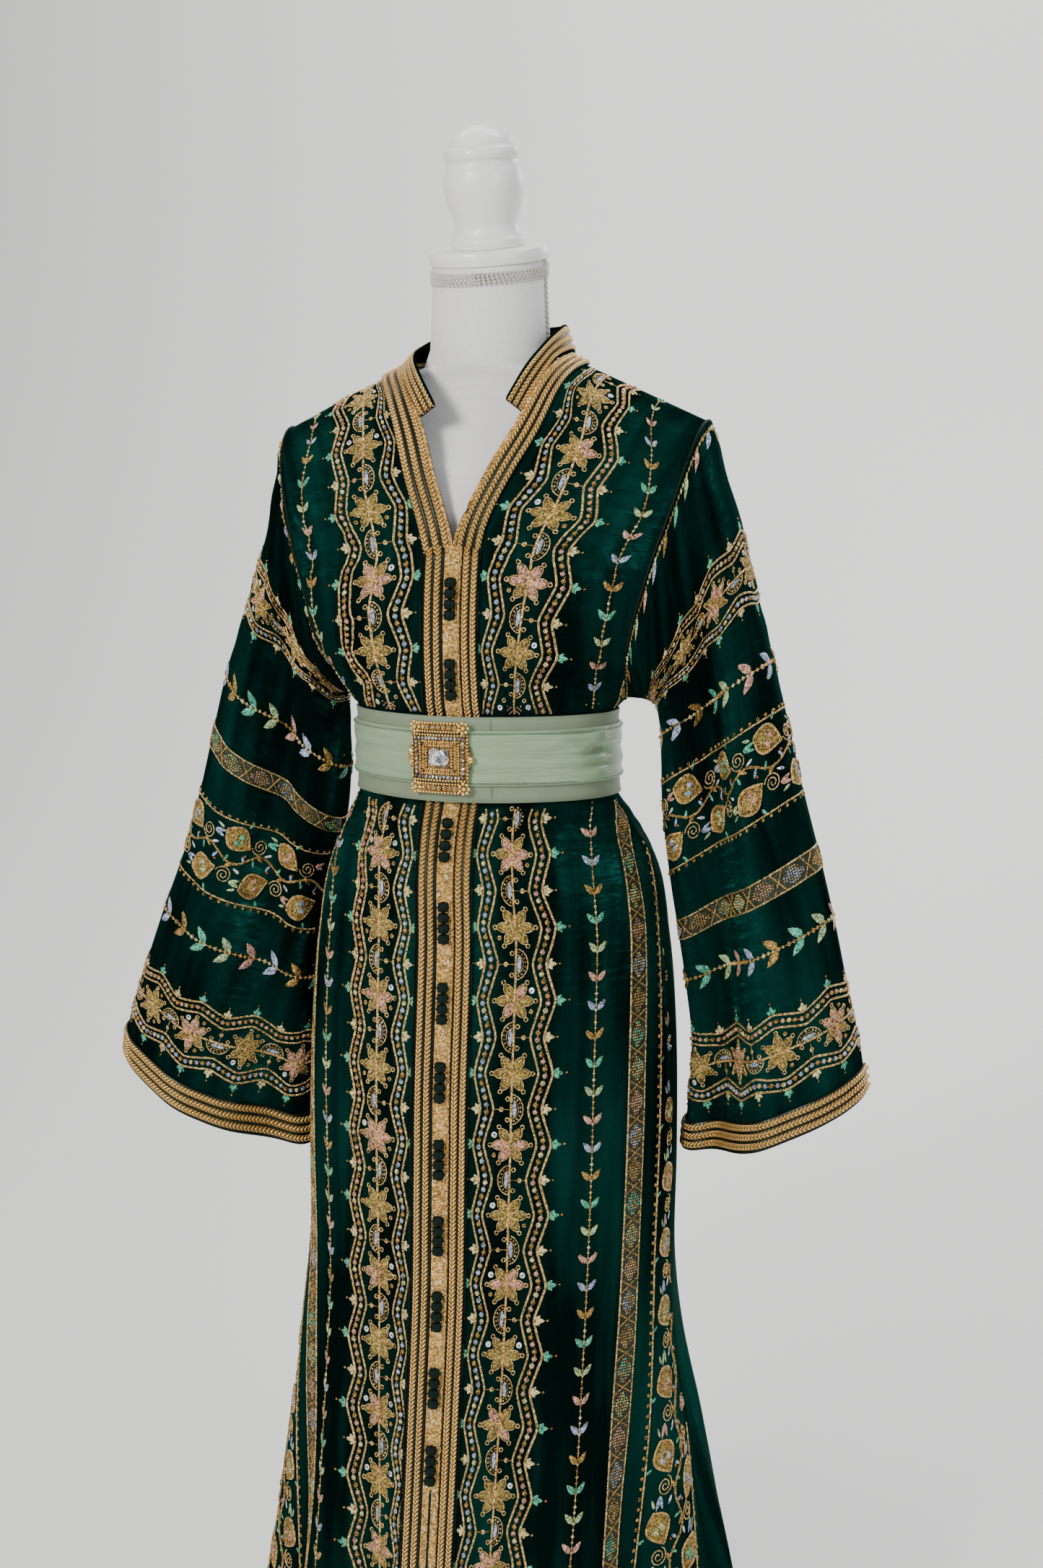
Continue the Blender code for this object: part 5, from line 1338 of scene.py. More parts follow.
class Needlework:
    """Motifs gathered for one sheet of cloth, then laid on it as one piece."""

    def __init__(self, cloth, place, clear=lambda points: np.ones(points.shape[:2], bool), seed=1):
        self.cloth, self.place, self.clear = cloth, place, clear
        self.chance = np.random.default_rng(seed)
        self.laid = {}

    def lay(self, shape, at=(0.0, 0.0), turn=0.0, size=1.0, tint="gold", long=False):
        """One shape on the cloth, left out where it would hang over an edge; a long one is cut there."""
        points = turned_by(shape, turn, at, size)
        u, v = self.place(points[..., 0], points[..., 1])
        spots, _, inside = self.cloth.read(u, v, points[..., 2] - 0.0001)
        keep = (inside & self.clear(spots)).all(axis=1)
        colour = np.array(TINTS[tint])
        shade = 1.0 + 0.16 * self.chance.standard_normal(spots.shape[:2])
        if long:
            shade = shade * np.where(np.arange(len(spots)) % 2, 1.2, 0.72)[:, None]
        tints = np.concatenate([np.clip(colour[:3] * shade[..., None], 0, 1),
                                np.broadcast_to(colour[3:], (*shade.shape, 1))], axis=-1)
        if not long:
            if keep.all():
                self.laid.setdefault(spots.shape[:2], []).append((spots, tints))
            return
        edges = np.flatnonzero(np.diff(np.concatenate([[False], keep, [False]])))
        for start, end in zip(edges[::2], edges[1::2]):
            if end - start > 2:
                self.laid.setdefault((end - start, spots.shape[1]), []).append((spots[start:end], tints[start:end]))

    def make(self, name):
        if not self.laid:
            return None
        bm, spots, tints = bmesh.new(), [], []
        for (rows, columns), shapes in self.laid.items():
            flat = grid_mesh(name, np.zeros((rows, columns, 3)))
            order = grid_order(rows, columns)
            bm.from_mesh(copies(flat, len(shapes)))
            spots.append(np.array([s.reshape(-1, 3)[order] for s, _ in shapes]).reshape(-1, 3))
            tints.append(np.array([t.reshape(-1, 4)[order] for _, t in shapes]).reshape(-1, 4))
        mesh = bpy.data.meshes.new(name)
        bm.to_mesh(mesh)
        bm.free()
        mesh.vertices.foreach_set("co", np.concatenate(spots).ravel())
        layer = mesh.color_attributes.new("tint", "FLOAT_COLOR", "POINT")
        layer.data.foreach_set("color", np.concatenate(tints).ravel())
        if self.left_handed():
            mesh.flip_normals()
        mesh.update()
        return piece_from(name, mesh, embroidery())

    def left_handed(self):
        grid, normals = self.cloth.grid, self.cloth.normals
        row = len(grid) // 3
        across = np.gradient(grid, axis=1)[row]
        up = np.gradient(grid, axis=0)[row]
        return (np.cross(across, up) * normals[row]).sum() < 0


@lru_cache(maxsize=None)
def grid_order(rows, columns):
    """The order in which a created grid numbers its corners, as numbers along rows of points."""
    bm = bmesh.new()
    bmesh.ops.create_grid(bm, x_segments=columns - 1, y_segments=rows - 1, size=1.0)
    corners = np.array([v.co[:2] for v in bm.verts])
    bm.free()
    place = np.rint((corners + 1) / 2 * (columns - 1, rows - 1)).astype(int)
    return place[:, 1] * columns + place[:, 0]


def copies(mesh, count):
    """A mesh that holds another one a number of times over."""
    bm = bmesh.new()
    bm.from_mesh(mesh)
    for bit in bin(count)[3:]:
        step = bpy.data.meshes.new("step")
        bm.to_mesh(step)
        bm.from_mesh(step)
        if bit == "1":
            bm.from_mesh(mesh)
        bpy.data.meshes.remove(step)
    result = bpy.data.meshes.new("copies")
    bm.to_mesh(result)
    bm.free()
    return result


def zigzag(t, phase, pitch):
    """1 at the flowers, 0 half way between them, with straight runs and rounded corners."""
    return (np.arcsin(0.96 * np.cos(2 * math.pi * (t - phase) / pitch)) / math.asin(0.96) + 1) / 2


def flower(work, s, t, pink):
    """Six beaded petals edged with cord, a ring at each tip, and sequins between."""
    for k in range(6):
        turn = (0.0, 55.0, 125.0, 180.0, 235.0, 305.0)[k]
        radians = math.radians(turn)
        size = 1.0 if turn % 180 == 0 else 0.98
        fill = ("olive", "pink") if pink else ("olive", "olive")
        work.lay(PETAL, (s + 0.0010 * math.cos(radians), t + 0.0010 * math.sin(radians)), radians, size,
                 fill[work.chance.integers(2)])
        work.lay(PETAL_EDGE, (s + 0.0008 * math.cos(radians), t + 0.0008 * math.sin(radians)), radians, size, "bright")
        reach = 0.0205
        work.lay(RING, (s + reach * math.cos(radians), t + reach * math.sin(radians)), tint="bright")
        for out in (0.006, 0.010, 0.0135):
            for side in (-1, 0, 1):
                if side and out > 0.012:
                    continue
                spot = (s + out * math.cos(radians) - side * 0.0024 * math.sin(radians),
                        t + out * math.sin(radians) + side * 0.0024 * math.cos(radians))
                work.lay(SEED * (0.62, 0.62, 1.9), spot, tint=("bright", "pink" if pink else "cream")[side % 2])
    work.lay(BEAD, (s, t), size=0.9, tint="bright")
    for across, up, tint in ((-0.0165, 0.0095, "white"), (0.0165, 0.0095, "white"), (-0.0165, -0.0095, "gold"),
                             (0.0165, -0.0095, "gold")):
        if work.chance.random() < 0.45:
            work.lay(SEQUIN, (s + across, t + up), size=1.0 if tint == "white" else 0.75, tint=tint)


def half_moon(work, s, t, side):
    """A half round with its straight edge on the stem: net in gold, a pale strip inside, and rings beside it."""
    turns = np.linspace(-math.pi / 2, math.pi / 2, 11)
    arc = np.stack([side * 0.0120 * np.cos(turns), 0.0140 * np.sin(turns)], axis=-1)
    arc = arc if side < 0 else arc[::-1]
    work.lay(cord_shape(np.concatenate([arc, arc[:1]]), 0.0007), (s, t), tint="bright")
    work.lay(cord_shape(arc * 0.62, 0.0005), (s, t), tint="gold")
    strip = pad_shape(0.0180, 0.0022, 0.0010, 6, 3, 1.0)
    work.lay(strip, (s + side * 0.0034, t - 0.0090), math.pi / 2, tint="lavender")
    for turn in np.linspace(-1.25, 1.25, 8):
        work.lay(SEED, (s + side * 0.0096 * math.cos(turn), t + 0.0112 * math.sin(turn)),
                 size=0.9, tint=("cream", "gold")[work.chance.integers(2)])
    for up in (-0.0098, 0.0098):
        work.lay(RING, (s - side * 0.0038, t + up), tint="bright")
    thread = np.stack([np.linspace(0.002, 0.0175, 6) * -side, np.zeros(6)], axis=-1)
    work.lay(cord_shape(thread, 0.0004), (s, t), tint="gold")
    work.lay(SEQUIN, (s - side * 0.0100, t), size=0.8, tint="bright")


def sprig(work, s, t, turn, tint, tip="gold"):
    for spread, size in ((-52, 0.95), (0, 1.2), (52, 0.95)):
        work.lay(LEAF_SMALL, (s, t), turn + math.radians(spread), size, tint)
    reach = 0.0105
    work.lay(SEED, (s + reach * math.cos(turn), t + reach * math.sin(turn)), tint=tip)


def long_cord(work, across, start, end, radius=0.0012, tint="bright", step=0.0031, lift=0.0):
    """A cord along the strip, its place across given as a function of t."""
    t = np.arange(start, end, step)
    work.lay(cord_shape(np.stack([np.broadcast_to(across(t), t.shape), t], axis=-1), radius, lift), tint=tint, long=True)


def flower_column(work, start, end, phase, pitch=COLUMN_PITCH):
    """The stem with its flowers and half moons, between two beaded zigzag tracks."""
    for far, near in ((-0.038, -0.031), (-0.027, -0.018), (0.026, 0.017), (0.039, 0.030)):
        long_cord(work, lambda t, far=far, near=near: near + (far - near) * zigzag(t, phase, pitch), start, end)
    for far, near, colours in ((-0.0325, -0.0245, ("lavender", "gold", "lavender", "cream")),
                               (0.0325, 0.0235, ("pink", "gold", "cream", "pink", "gold"))):
        step = pitch / round(pitch / BEAD_PITCH)
        for k, t in enumerate(np.arange(start + step / 2, end, step)):
            s = near + (far - near) * float(zigzag(t, phase, pitch))
            work.lay(BEAD, (s, t), size=0.95, tint=colours[k % len(colours)])
            work.lay(SEED, (s + 0.0006, t + step / 2), size=0.75, tint="copper" if k % 4 == 0 else "gold")
    long_cord(work, lambda t: 0.0 * t, start, end, 0.0013)
    first = math.ceil((start - phase) / pitch * 2)
    for k in range(first, int((end - phase) / pitch * 2) + 1):
        t = phase + k * pitch / 2
        if k % 2 == 0:
            flower(work, 0.0, t, k % 4 == 0)
            sprig(work, 0.0405, t, 0.0, "mint", "copper")
            sprig(work, -0.0395, t, math.pi, "mint")
        else:
            half_moon(work, 0.0, t, 1 if k % 4 == 1 else -1)
            sprig(work, 0.0315, t, 0.0, "cream")
            sprig(work, -0.0325, t, math.pi, "cream")


def leaf_vine(work, start, end, pitch=0.0264, size=1.0):
    """A stem of beads with a pair of leaves at each step."""
    for k, t in enumerate(np.arange(start, end, pitch)):
        tint = LEAF_TINTS[k % len(LEAF_TINTS)]
        for turn in (48, 132):
            work.lay(LEAF, (0.0008 if turn < 90 else -0.0008, t), math.radians(turn + 3 * work.chance.standard_normal()),
                     1.06 * size, tint)
            reach = math.radians(turn)
            work.lay(SEED, (0.0118 * size * math.cos(reach), t + 0.0118 * size * math.sin(reach)), size=0.7, tint="gold")
        for step, bead in ((0.0, 1.0), (0.0052, 0.8), (0.0100, 1.0), (0.0152, 1.25), (0.0210, 0.9)):
            work.lay(SEED, (0.0, t + step), size=1.15 * bead * size, tint=("gold", "bright", "cream")[k % 3])
    long_cord(work, lambda t: 0.0 * t, start, end, 0.0006, "gold", 0.003)


def lattice(work, start, end, half=0.0105, pitch=0.032):
    """A band of crossed cords on a beaded ground, with a cluster of coloured beads in each diamond."""
    t = np.arange(start, end, 0.004)
    ground = np.stack(np.broadcast_arrays(np.linspace(-half, half, 4)[None, :], t[:, None], 0.0004), axis=-1)
    work.lay(ground, tint="dark", long=True)
    for side in (-1, 1):
        long_cord(work, lambda t, side=side: side * half + 0.0 * t, start, end, 0.0010)
    for k, t in enumerate(np.arange(start, end, pitch)):
        for side in (-1, 1):
            run = np.linspace(0, 1, 8)
            path = np.stack([side * half * (1 - 2 * run), t + pitch * (0.30 + 0.40 * run) - pitch / 2], axis=-1)
            work.lay(cord_shape(path, 0.0007, 0.0005), tint="gold")
        colours = (LEAF_TINTS[k % 5], "gold", LEAF_TINTS[k % 5], "bright")
        middle = t + pitch / 2
        for row in range(-4, 5):
            wide = 0.0085 * (1 - abs(row) / 5.2)
            for s in np.arange(-wide, wide + 1e-6, 0.0026):
                work.lay(SEED, (s + (row % 2) * 0.0006, middle + row * 0.0026), size=0.95,
                         tint=colours[work.chance.integers(4)])


def teardrop(work, s, t, turn, tint, size=1.0):
    """A leaf-shaped drop with a double gold edge, beads and two small leaves inside."""
    shape = outline(0.032, 0.0125, 12, 1.25)[::-1] - (0.016, 0.0)
    spot = dict(at=(s, t), turn=turn)
    work.lay(pad_shape(0.030, 0.0105, 0.0010, 8, 5, 1.25) - (0.015, 0, 0), size=size, tint="olive", **spot)
    for scale, radius in ((1.0, 0.0011), (0.86, 0.0008), (0.66, 0.0007)):
        work.lay(cord_shape(shape * scale * size, radius, 0.0006), tint="bright" if scale == 1 else "gold", **spot)
    for k in range(14):
        a, r = work.chance.random() * 6.28, 0.0065 * math.sqrt(work.chance.random())
        work.lay(SEED * (1, 1, 1.7), (s + 1.2 * r * math.cos(a), t + r * math.sin(a)), size=0.9,
                 tint=("bright", "cream", tint)[k % 3])
    for off in (-0.004, 0.004):
        centre = (s - off * math.sin(turn) - 0.006 * math.cos(turn), t + off * math.cos(turn) - 0.006 * math.sin(turn))
        work.lay(LEAF * (0.8, 1, 2.4), centre, turn, size, tint)


def spiral(work, s, t, side):
    turns = np.linspace(0.6, 5.2 * math.pi / 2 * 1.7, 30)
    radius = 0.0009 + 0.00062 * turns
    path = np.stack([side * radius * np.cos(turns), radius * np.sin(turns)], axis=-1)
    work.lay(cord_shape(path, 0.0007), (s, t), tint="bright")


def scroll_column(work, start, end, phase, pitch=0.065):
    """Drops, spirals and long leaves on a winding stem, between picot edges."""
    for edge in (-0.0425, 0.0425):
        long_cord(work, lambda t, edge=edge: edge + 0.0 * t, start, end, 0.0010)
        for k, t in enumerate(np.arange(start, end, 0.0095)):
            out = edge + math.copysign(0.0032, edge)
            work.lay(BEAD if k % 3 else RING, (out, t), size=0.72, tint="gold")
    long_cord(work, lambda t: 0.003 + 0.0065 * np.cos(2 * math.pi * (t - phase) / pitch), start, end, 0.0013, "gold")
    first = math.ceil((start - phase) / pitch)
    for k in range(first, int((end - phase) / pitch) + 1):
        tint, other = ("lavender", "pink", "sage")[k % 3], ("pink", "mint", "lavender")[k % 3]
        t = phase + k * pitch
        for side, s, up, colour in ((1, -0.0205, t, tint), (-1, 0.0235, t + pitch / 2, other)):
            teardrop(work, s, up, math.radians(118 if side > 0 else 62), colour, 1.06)
            spiral(work, s + 0.003 * side, up - 0.0265, side)
            for turn, size in ((-102, 1.0), (-72, 0.95)):
                work.lay(LEAF_LONG, (s - 0.002 * side, up - 0.0345), math.radians(turn if side > 0 else 180 - turn),
                         size * 0.9, colour)
            work.lay(LEAF_LONG, (s + 0.012 * side, up - 0.024), math.radians(-55 if side > 0 else 235), 0.8, "gold")
            work.lay(SEED, (s + 0.016 * side, up - 0.012), size=1.2, tint="copper")
            for turn, reach, shade in ((20, 0.019, "mint"), (66, 0.022, "white"), (112, 0.020, "sage"),
                                       (-150, 0.017, "mint"), (-28, 0.018, "lavender")):
                aim = math.radians(turn if side > 0 else 180 - turn)
                work.lay(LEAF_LONG, (s + reach * math.cos(aim), up + reach * math.sin(aim)), aim, 0.62, shade)


# Laying the embroidery
def clear_of_belt(points):
    z = points[..., 2]
    return (z < BELT_BOTTOM - 0.002) | (z > BELT_TOP + 0.002)


# How near the columns run to the centre front, at heights up from the hem
COLUMN_HEIGHTS = (0.0, 0.25, 0.45, 0.75, 0.92, 1.04, 1.13, 1.18, 1.235, 1.28, 1.33)
COLUMN_SHARES = {-1: (0.66, 0.70, 0.82, 0.94, 0.98, 0.96, 0.93, 1.04, 1.12, 1.02, 0.98),
                 1: (0.80, 0.80, 0.85, 0.90, 0.90, 0.82, 0.76, 0.82, 0.92, 1.0, 1.0)}


def embroider_fronts():
    vine_at, lattice_at, scroll_at = 0.150, 0.201, 0.279
    for side in (-1, 1):
        cloth = front_cloth(side)
        top = float(cloth.up[-1])
        neck = float(np.interp(0.5, [0, 1], [cloth.up[len(fine_rows()[0])], top]))

        def placed(centre):
            def place(s, t):
                u = centre + s
                share = np.interp(t, COLUMN_HEIGHTS, COLUMN_SHARES[side])
                share = share + 0.5 * (1 - share) * ease((u - 0.09) / 0.06)
                narrowed = ease((t - neck) / (top - neck))
                near = 0.017 * narrowed * np.exp(-(((u - 0.065) / 0.035) ** 2))
                return u * share / (1 + 3.6 * narrowed * np.clip(u, 0, None)) - near, t
            return place

        name = WEARERS_SIDE[side]
        for part, (low, high, phase) in {"skirt": (0.012, 1.045, 0.999 + 0.003 * side),
                                              "bodice": (1.105, top - 0.004, 1.130)}.items():
            work = Needlework(cloth, placed(0.073), clear_of_belt, 5 + side)
            flower_column(work, low, high, phase)
            work.make(f"flower_column_{part}_{name}")
            work = Needlework(cloth, placed(vine_at), clear_of_belt, 15 + side)
            leaf_vine(work, low, high)
            work.make(f"leaf_vine_{part}_{name}")
            work = Needlework(cloth, placed(lattice_at), clear_of_belt, 25 + side)
            lattice(work, low, min(high, 1.262))
            work.make(f"lattice_{part}_{name}")
            if part == "skirt":
                work = Needlework(cloth, placed(scroll_at), clear_of_belt, 35 + side)
                scroll_column(work, low, high, phase)
                work.make(f"scroll_column_{part}_{name}")


SLEEVE_BANDS = {
    1: ((0.06, "vine"), (0.21, "flower"), (0.35, "vine"), (0.48, "scroll"), (0.64, "lattice"), (0.73, "vine"),
        (0.872, "flower")),
    -1: ((0.06, "vine"), (0.225, "flower"), (0.375, "vine"), (0.467, "lattice"), (0.62, "scroll"), (0.745, "vine"),
         (0.880, "flower")),
}


def embroider_sleeves():
    for side, bands in SLEEVE_BANDS.items():
        cloth = sleeve_cloth(side)
        for number, (share, kind) in enumerate(bands):
            height = float(np.interp((1 - share) * SLEEVE_RINGS, np.arange(SLEEVE_RINGS + 1), cloth.up))
            row = round((1 - share) * SLEEVE_RINGS)
            low, high = cloth.across[row, 0], cloth.across[row, -1]
            size = {"flower": 0.88, "scroll": 0.92}.get(kind, 1.0)

            def place(s, t, height=height, size=size):
                return -t * size, height + s * size

            work = Needlework(cloth, place, seed=50 + 10 * side + number)
            start, end = -high / size, -low / size
            around = end - start
            if kind == "flower":
                pitch = around / round(around / COLUMN_PITCH)
                flower_column(work, start, end, start + pitch / 2, pitch)
            elif kind == "vine":
                leaf_vine(work, start, end, around / round(around / 0.0264), 1.4)
            elif kind == "lattice":
                lattice(work, start, end, pitch=around / round(around / 0.032))
            else:
                scroll_column(work, start, end, start + 0.03, around / round(around / 0.065))
            work.make(f"{kind}_band_{number + 1}_{WEARERS_SIDE[side]}")


# The buckle
def on_belt(points):
    """Points across, up and out from the buckle's centre, carried onto the belt's curve."""
    angles = BUCKLE_CENTRE_ANGLE + np.degrees(points[:, 0] / 0.150)
    return np.array([belt_ring(np.array([a]), np.array([BUCKLE_HEIGHT_CENTRE + p[1]]), 0.0062 + p[2])[0]
                     for a, p in zip(angles, points)])


def bent_piece(name, bm, material, replaces=(), sharp=None):
    for vert, point in zip(bm.verts, on_belt(np.array([v.co for v in bm.verts]))):
        vert.co = point
    bmesh.ops.recalc_face_normals(bm, faces=bm.faces)
    mesh = bpy.data.meshes.new(name)
    bm.to_mesh(mesh)
    bm.free()
    return piece_from(name, mesh, material, replaces, sharp=sharp)


def add_ball(bm, place, size, around=8, high=6):
    made = bmesh.ops.create_uvsphere(bm, u_segments=around, v_segments=high, radius=1.0)
    bmesh.ops.scale(bm, verts=made["verts"], vec=size)
    bmesh.ops.translate(bm, verts=made["verts"], vec=place)


def ball_row(bm, start, end, pitch, size):
    start, end = Vector(start), Vector(end)
    count = max(1, round((end - start).length / pitch))
    for k in range(count + 1):
        add_ball(bm, start.lerp(end, k / count), (size, size, size))


def add_block(bm, centre, size):
    made = bmesh.ops.create_cube(bm, size=1.0)
    bmesh.ops.scale(bm, verts=made["verts"], vec=size)
    bmesh.ops.translate(bm, verts=made["verts"], vec=centre)
    return made["verts"]


def beaded_rim(bm, wide, high, pitch, size, out):
    for sign in (-1, 1):
        ball_row(bm, (-wide, sign * high, out), (wide, sign * high, out), pitch, size)
        ball_row(bm, (sign * wide, -high, out), (sign * wide, high, out), pitch, size)


def make_buckle():
    bm = bmesh.new()
    plate = bmesh.ops.create_grid(bm, x_segments=14, y_segments=12, size=1.0)["verts"]
    bmesh.ops.scale(bm, verts=plate, vec=(0.0300, 0.0212, 1.0))
    bmesh.ops.solidify(bm, geom=bm.faces[:], thickness=-0.0018)
    for sign in (-1, 1):
        add_block(bm, (0, sign * 0.0272, 0.0012), (0.044, 0.0085, 0.0024))
        add_block(bm, (sign * 0.0310, 0, 0.0012), (0.0030, 0.022, 0.0024))
    bmesh.ops.bevel(bm, geom=bm.edges[:], offset=0.0003, segments=1, profile=0.5, affect="EDGES", material=-1)
    bent_piece("buckle_plate", bm, buckle_ground(), ("buckle",), sharp=40)
    bm = bmesh.new()
    for wide, high, size in ((0.0296, 0.0206, 0.00135), (0.0206, 0.0146, 0.0011), (0.0136, 0.0106, 0.0012)):
        beaded_rim(bm, wide, high, size * 2.3, size, 0.0026)
    for sign in (-1, 1):
        for up, size in ((0.0316, 0.0015), (0.0238, 0.0013)):
            ball_row(bm, (-0.020, sign * up, 0.0026), (0.020, sign * up, 0.0026), size * 2.2, size)
        for k in range(-3, 4):
            bead_circle(bm, k * 0.0056, sign * 0.0277, 0.0018, 7)
            bead_circle(bm, k * 0.0046, sign * 0.0129, 0.0012, 6)
        for k in range(-2, 3):
            bead_circle(bm, sign * 0.0171, k * 0.0044, 0.0012, 6)
        for other in (-1, 1):
            rosette(bm, sign * 0.0258, other * 0.0276)
    add_ball(bm, (0.0328, -0.001, 0.0034), (0.0032, 0.0036, 0.0028), 12, 8)
    add_ball(bm, (-0.0322, 0.0, 0.0028), (0.0024, 0.0088, 0.0024), 12, 8)
    bent_piece("buckle_beads", bm, buckle_gold())
    bm = bmesh.new()
    beaded_rim(bm, 0.0251, 0.0177, 0.0038, 0.0016, 0.0028)
    for sign in (-1, 1):
        ball_row(bm, (-0.0168, sign * 0.0277, 0.0026), (0.0168, sign * 0.0277, 0.0026), 0.0056, 0.0011)
    bent_piece("buckle_crystals", bm, crystal(), sharp=20)
    set_stone()


def bead_circle(bm, across, up, radius, count):
    for k in range(count):
        turn = 2 * math.pi * k / count
        add_ball(bm, (across + radius * math.cos(turn), up + radius * math.sin(turn), 0.0022), (0.0007,) * 3, 6, 4)


def rosette(bm, across, up):
    """A small flower of metal balls at a corner."""
    add_ball(bm, (across, up, 0.0036), (0.0023, 0.0023, 0.0020), 10, 6)
    for k in range(7):
        turn = 2 * math.pi * k / 7
        place = (across + 0.0046 * math.cos(turn), up + 0.0046 * math.sin(turn), 0.0026)
        add_ball(bm, place, (0.0020, 0.0020, 0.0016))


def set_stone():
    """A clear step-cut stone, a little to one side of the middle."""
    bm = bmesh.new()
    steps = ((0.0, 1.0, 1.0), (0.34, 1.0, 1.0), (0.74, 0.84, 0.80), (1.0, 0.62, 0.54))
    verts = bmesh.ops.create_circle(bm, cap_ends=True, segments=8, radius=1.0)["verts"]
    rings = [outline_ring(bm, verts, steps[0])]
    face = bm.faces[:]
    for step in steps[1:]:
        made = bmesh.ops.extrude_face_region(bm, geom=face)
        face = [g for g in made["geom"] if isinstance(g, bmesh.types.BMFace)]
        rings.append(outline_ring(bm, [g for g in made["geom"] if isinstance(g, bmesh.types.BMVert)], step))
    angle = math.radians(BUCKLE_CENTRE_ANGLE)
    centre = belt_ring(np.array([BUCKLE_CENTRE_ANGLE]), np.array([BUCKLE_HEIGHT_CENTRE]), 0.0079)[0]
    across, out = Vector((math.cos(angle), math.sin(angle), 0)), Vector((math.sin(angle), -math.cos(angle), 0))
    for vert in bm.verts:
        vert.co = Vector(centre) + across * vert.co.x + Vector((0, 0, vert.co.y)) + out * vert.co.z
    bmesh.ops.recalc_face_normals(bm, faces=bm.faces)
    mesh = bpy.data.meshes.new("cut_stone")
    bm.to_mesh(mesh)
    bm.free()
    piece_from("cut_stone", mesh, crystal(), ("buckle_stone",), sharp=8)


def outline_ring(bm, verts, step):
    """The eight corners of the stone at one of its steps."""
    share, wide, high = step
    half_w, half_h = STONE_WIDTH / 2 * wide, STONE_HEIGHT / 2 * high
    cut_w, cut_h = half_w * 0.66, half_h * 0.60
    corners = [(half_w, -cut_h), (half_w, cut_h), (cut_w, half_h), (-cut_w, half_h),
               (-half_w, cut_h), (-half_w, -cut_h), (-cut_w, -half_h), (cut_w, -half_h)]
    ordered = sorted(verts, key=lambda v: math.atan2(v.co.y, v.co.x))
    targets = sorted(corners, key=lambda c: math.atan2(c[1], c[0]))
    for vert, (x, y) in zip(ordered, targets):
        vert.co = (x, y, STONE_DEPTH * share)
    return ordered


# The dress form
def form_rings(sides):
    turns = np.linspace(0, 2 * math.pi, sides + 1)
    rings = []
    for height, half, front, back, shift in FORM:
        if half is None:
            half, shift = shoulder_ring(height)
        deep = np.where(np.cos(turns) > 0, front, back)
        x, y = shift + half * np.sin(turns), -deep * np.cos(turns)
        slope = math.tan(PLATE_TILT) if height == NECK_TOP else 0.0
        rings.append(np.stack([x, y, height + slope * y], axis=-1))
    return np.array(rings)


def shoulder_ring(height):
    """Half width and shift of the form where it carries the garment's shoulder seams."""
    top = dict(zip(YOKE_COLUMNS, YOKE[-1]))
    ends = []
    for side in ("right", "left"):
        neck, tip = top[f"neck_x_{side}"], top[f"arm_x_{side}"]
        share = (top[f"neck_z_{side}"] - FORM_UNDER_SEAM - height) / (top[f"neck_z_{side}"] - TIP_HEIGHT)
        ends.append(neck + (tip - neck) * share)
    return (ends[1] - ends[0]) / 2, (ends[1] + ends[0]) / 2


def form_surface(sides, steps=5):
    rings = form_rings(sides)
    numbers = np.linspace(0, len(rings) - 1, (len(rings) - 1) * steps + 1)
    low = np.clip(numbers.astype(int), 0, len(rings) - 2)
    share = (numbers - low)[:, None, None]
    return rings[low] * (1 - share) + rings[low + 1] * share


def make_form():
    surface = form_surface(64)
    surface = np.concatenate([surface[:1] * (0.02, 0.02, 1.0), surface[:1] * (0.5, 0.5, 1.0), surface,
                              capped(surface[-1], 0.5), capped(surface[-1], 0.02)])
    facing = surface - surface.mean(axis=1, keepdims=True) + [0, 0, 1e-4]
    mesh = grid_mesh("torso_cover", surface, None, facing, closed=True)
    close_ends(mesh)
    piece_from("torso_cover", mesh, linen(), ("form_torso",))
    rings = form_surface(96)
    turns = 96 // 4
    for name, columns in (("right", 3 * turns), ("left", turns)):
        line = rings[-24:, columns] - rings[-24:].mean(axis=1)
        line = rings[-24:].mean(axis=1) + line * (1 + 0.0012 / np.linalg.norm(line, axis=1, keepdims=True))
        looped_gimp(f"gimp_neck_seam_{name}", line, 0.0032)
    top = rings[-1] + np.array([0.0, 0.0, -0.0062])
    middle = top.mean(axis=0)
    out = unit((top - middle) * (1, 1, 0))
    for row in range(4):
        looped_gimp(f"gimp_neck_{row + 1}", top + out * 0.0010 - [0, 0, 0.0028 * row], 0.0018, 0.0040 + 0.0002 * row)


def capped(ring, share):
    middle = ring.mean(axis=0)
    return (middle + (ring - middle) * share)[None]


def close_ends(mesh):
    bm = bmesh.new()
    bm.from_mesh(mesh)
    bmesh.ops.holes_fill(bm, edges=[e for e in bm.edges if e.is_boundary], sides=0)
    bmesh.ops.recalc_face_normals(bm, faces=bm.faces)
    bm.to_mesh(mesh)
    bm.free()


def looped_gimp(name, line, size, pitch=0.0046):
    """A thin cord laid in small waves along a line, as gimp braid is."""
    lengths = lengths_up(line[:, None], 0)
    steps = np.linspace(0, lengths[-1], max(24, int(lengths[-1] / pitch * 10)))
    path = np.stack([np.interp(steps, lengths, line[:, k]) for k in range(3)], axis=-1)
    ahead = unit(np.gradient(path, axis=0))
    out = unit((path - line.mean(axis=0)) * (1.0, 1.0, 0.0))
    side = unit(np.cross(ahead, out))
    path = path + side * (size * 0.8 * np.sin(2 * math.pi * steps / pitch))[:, None]
    cord_along(name, path, 0.0008, plain_cloth("gimp", (0.56, 0.55, 0.51), 0.5, 0.2), 6)


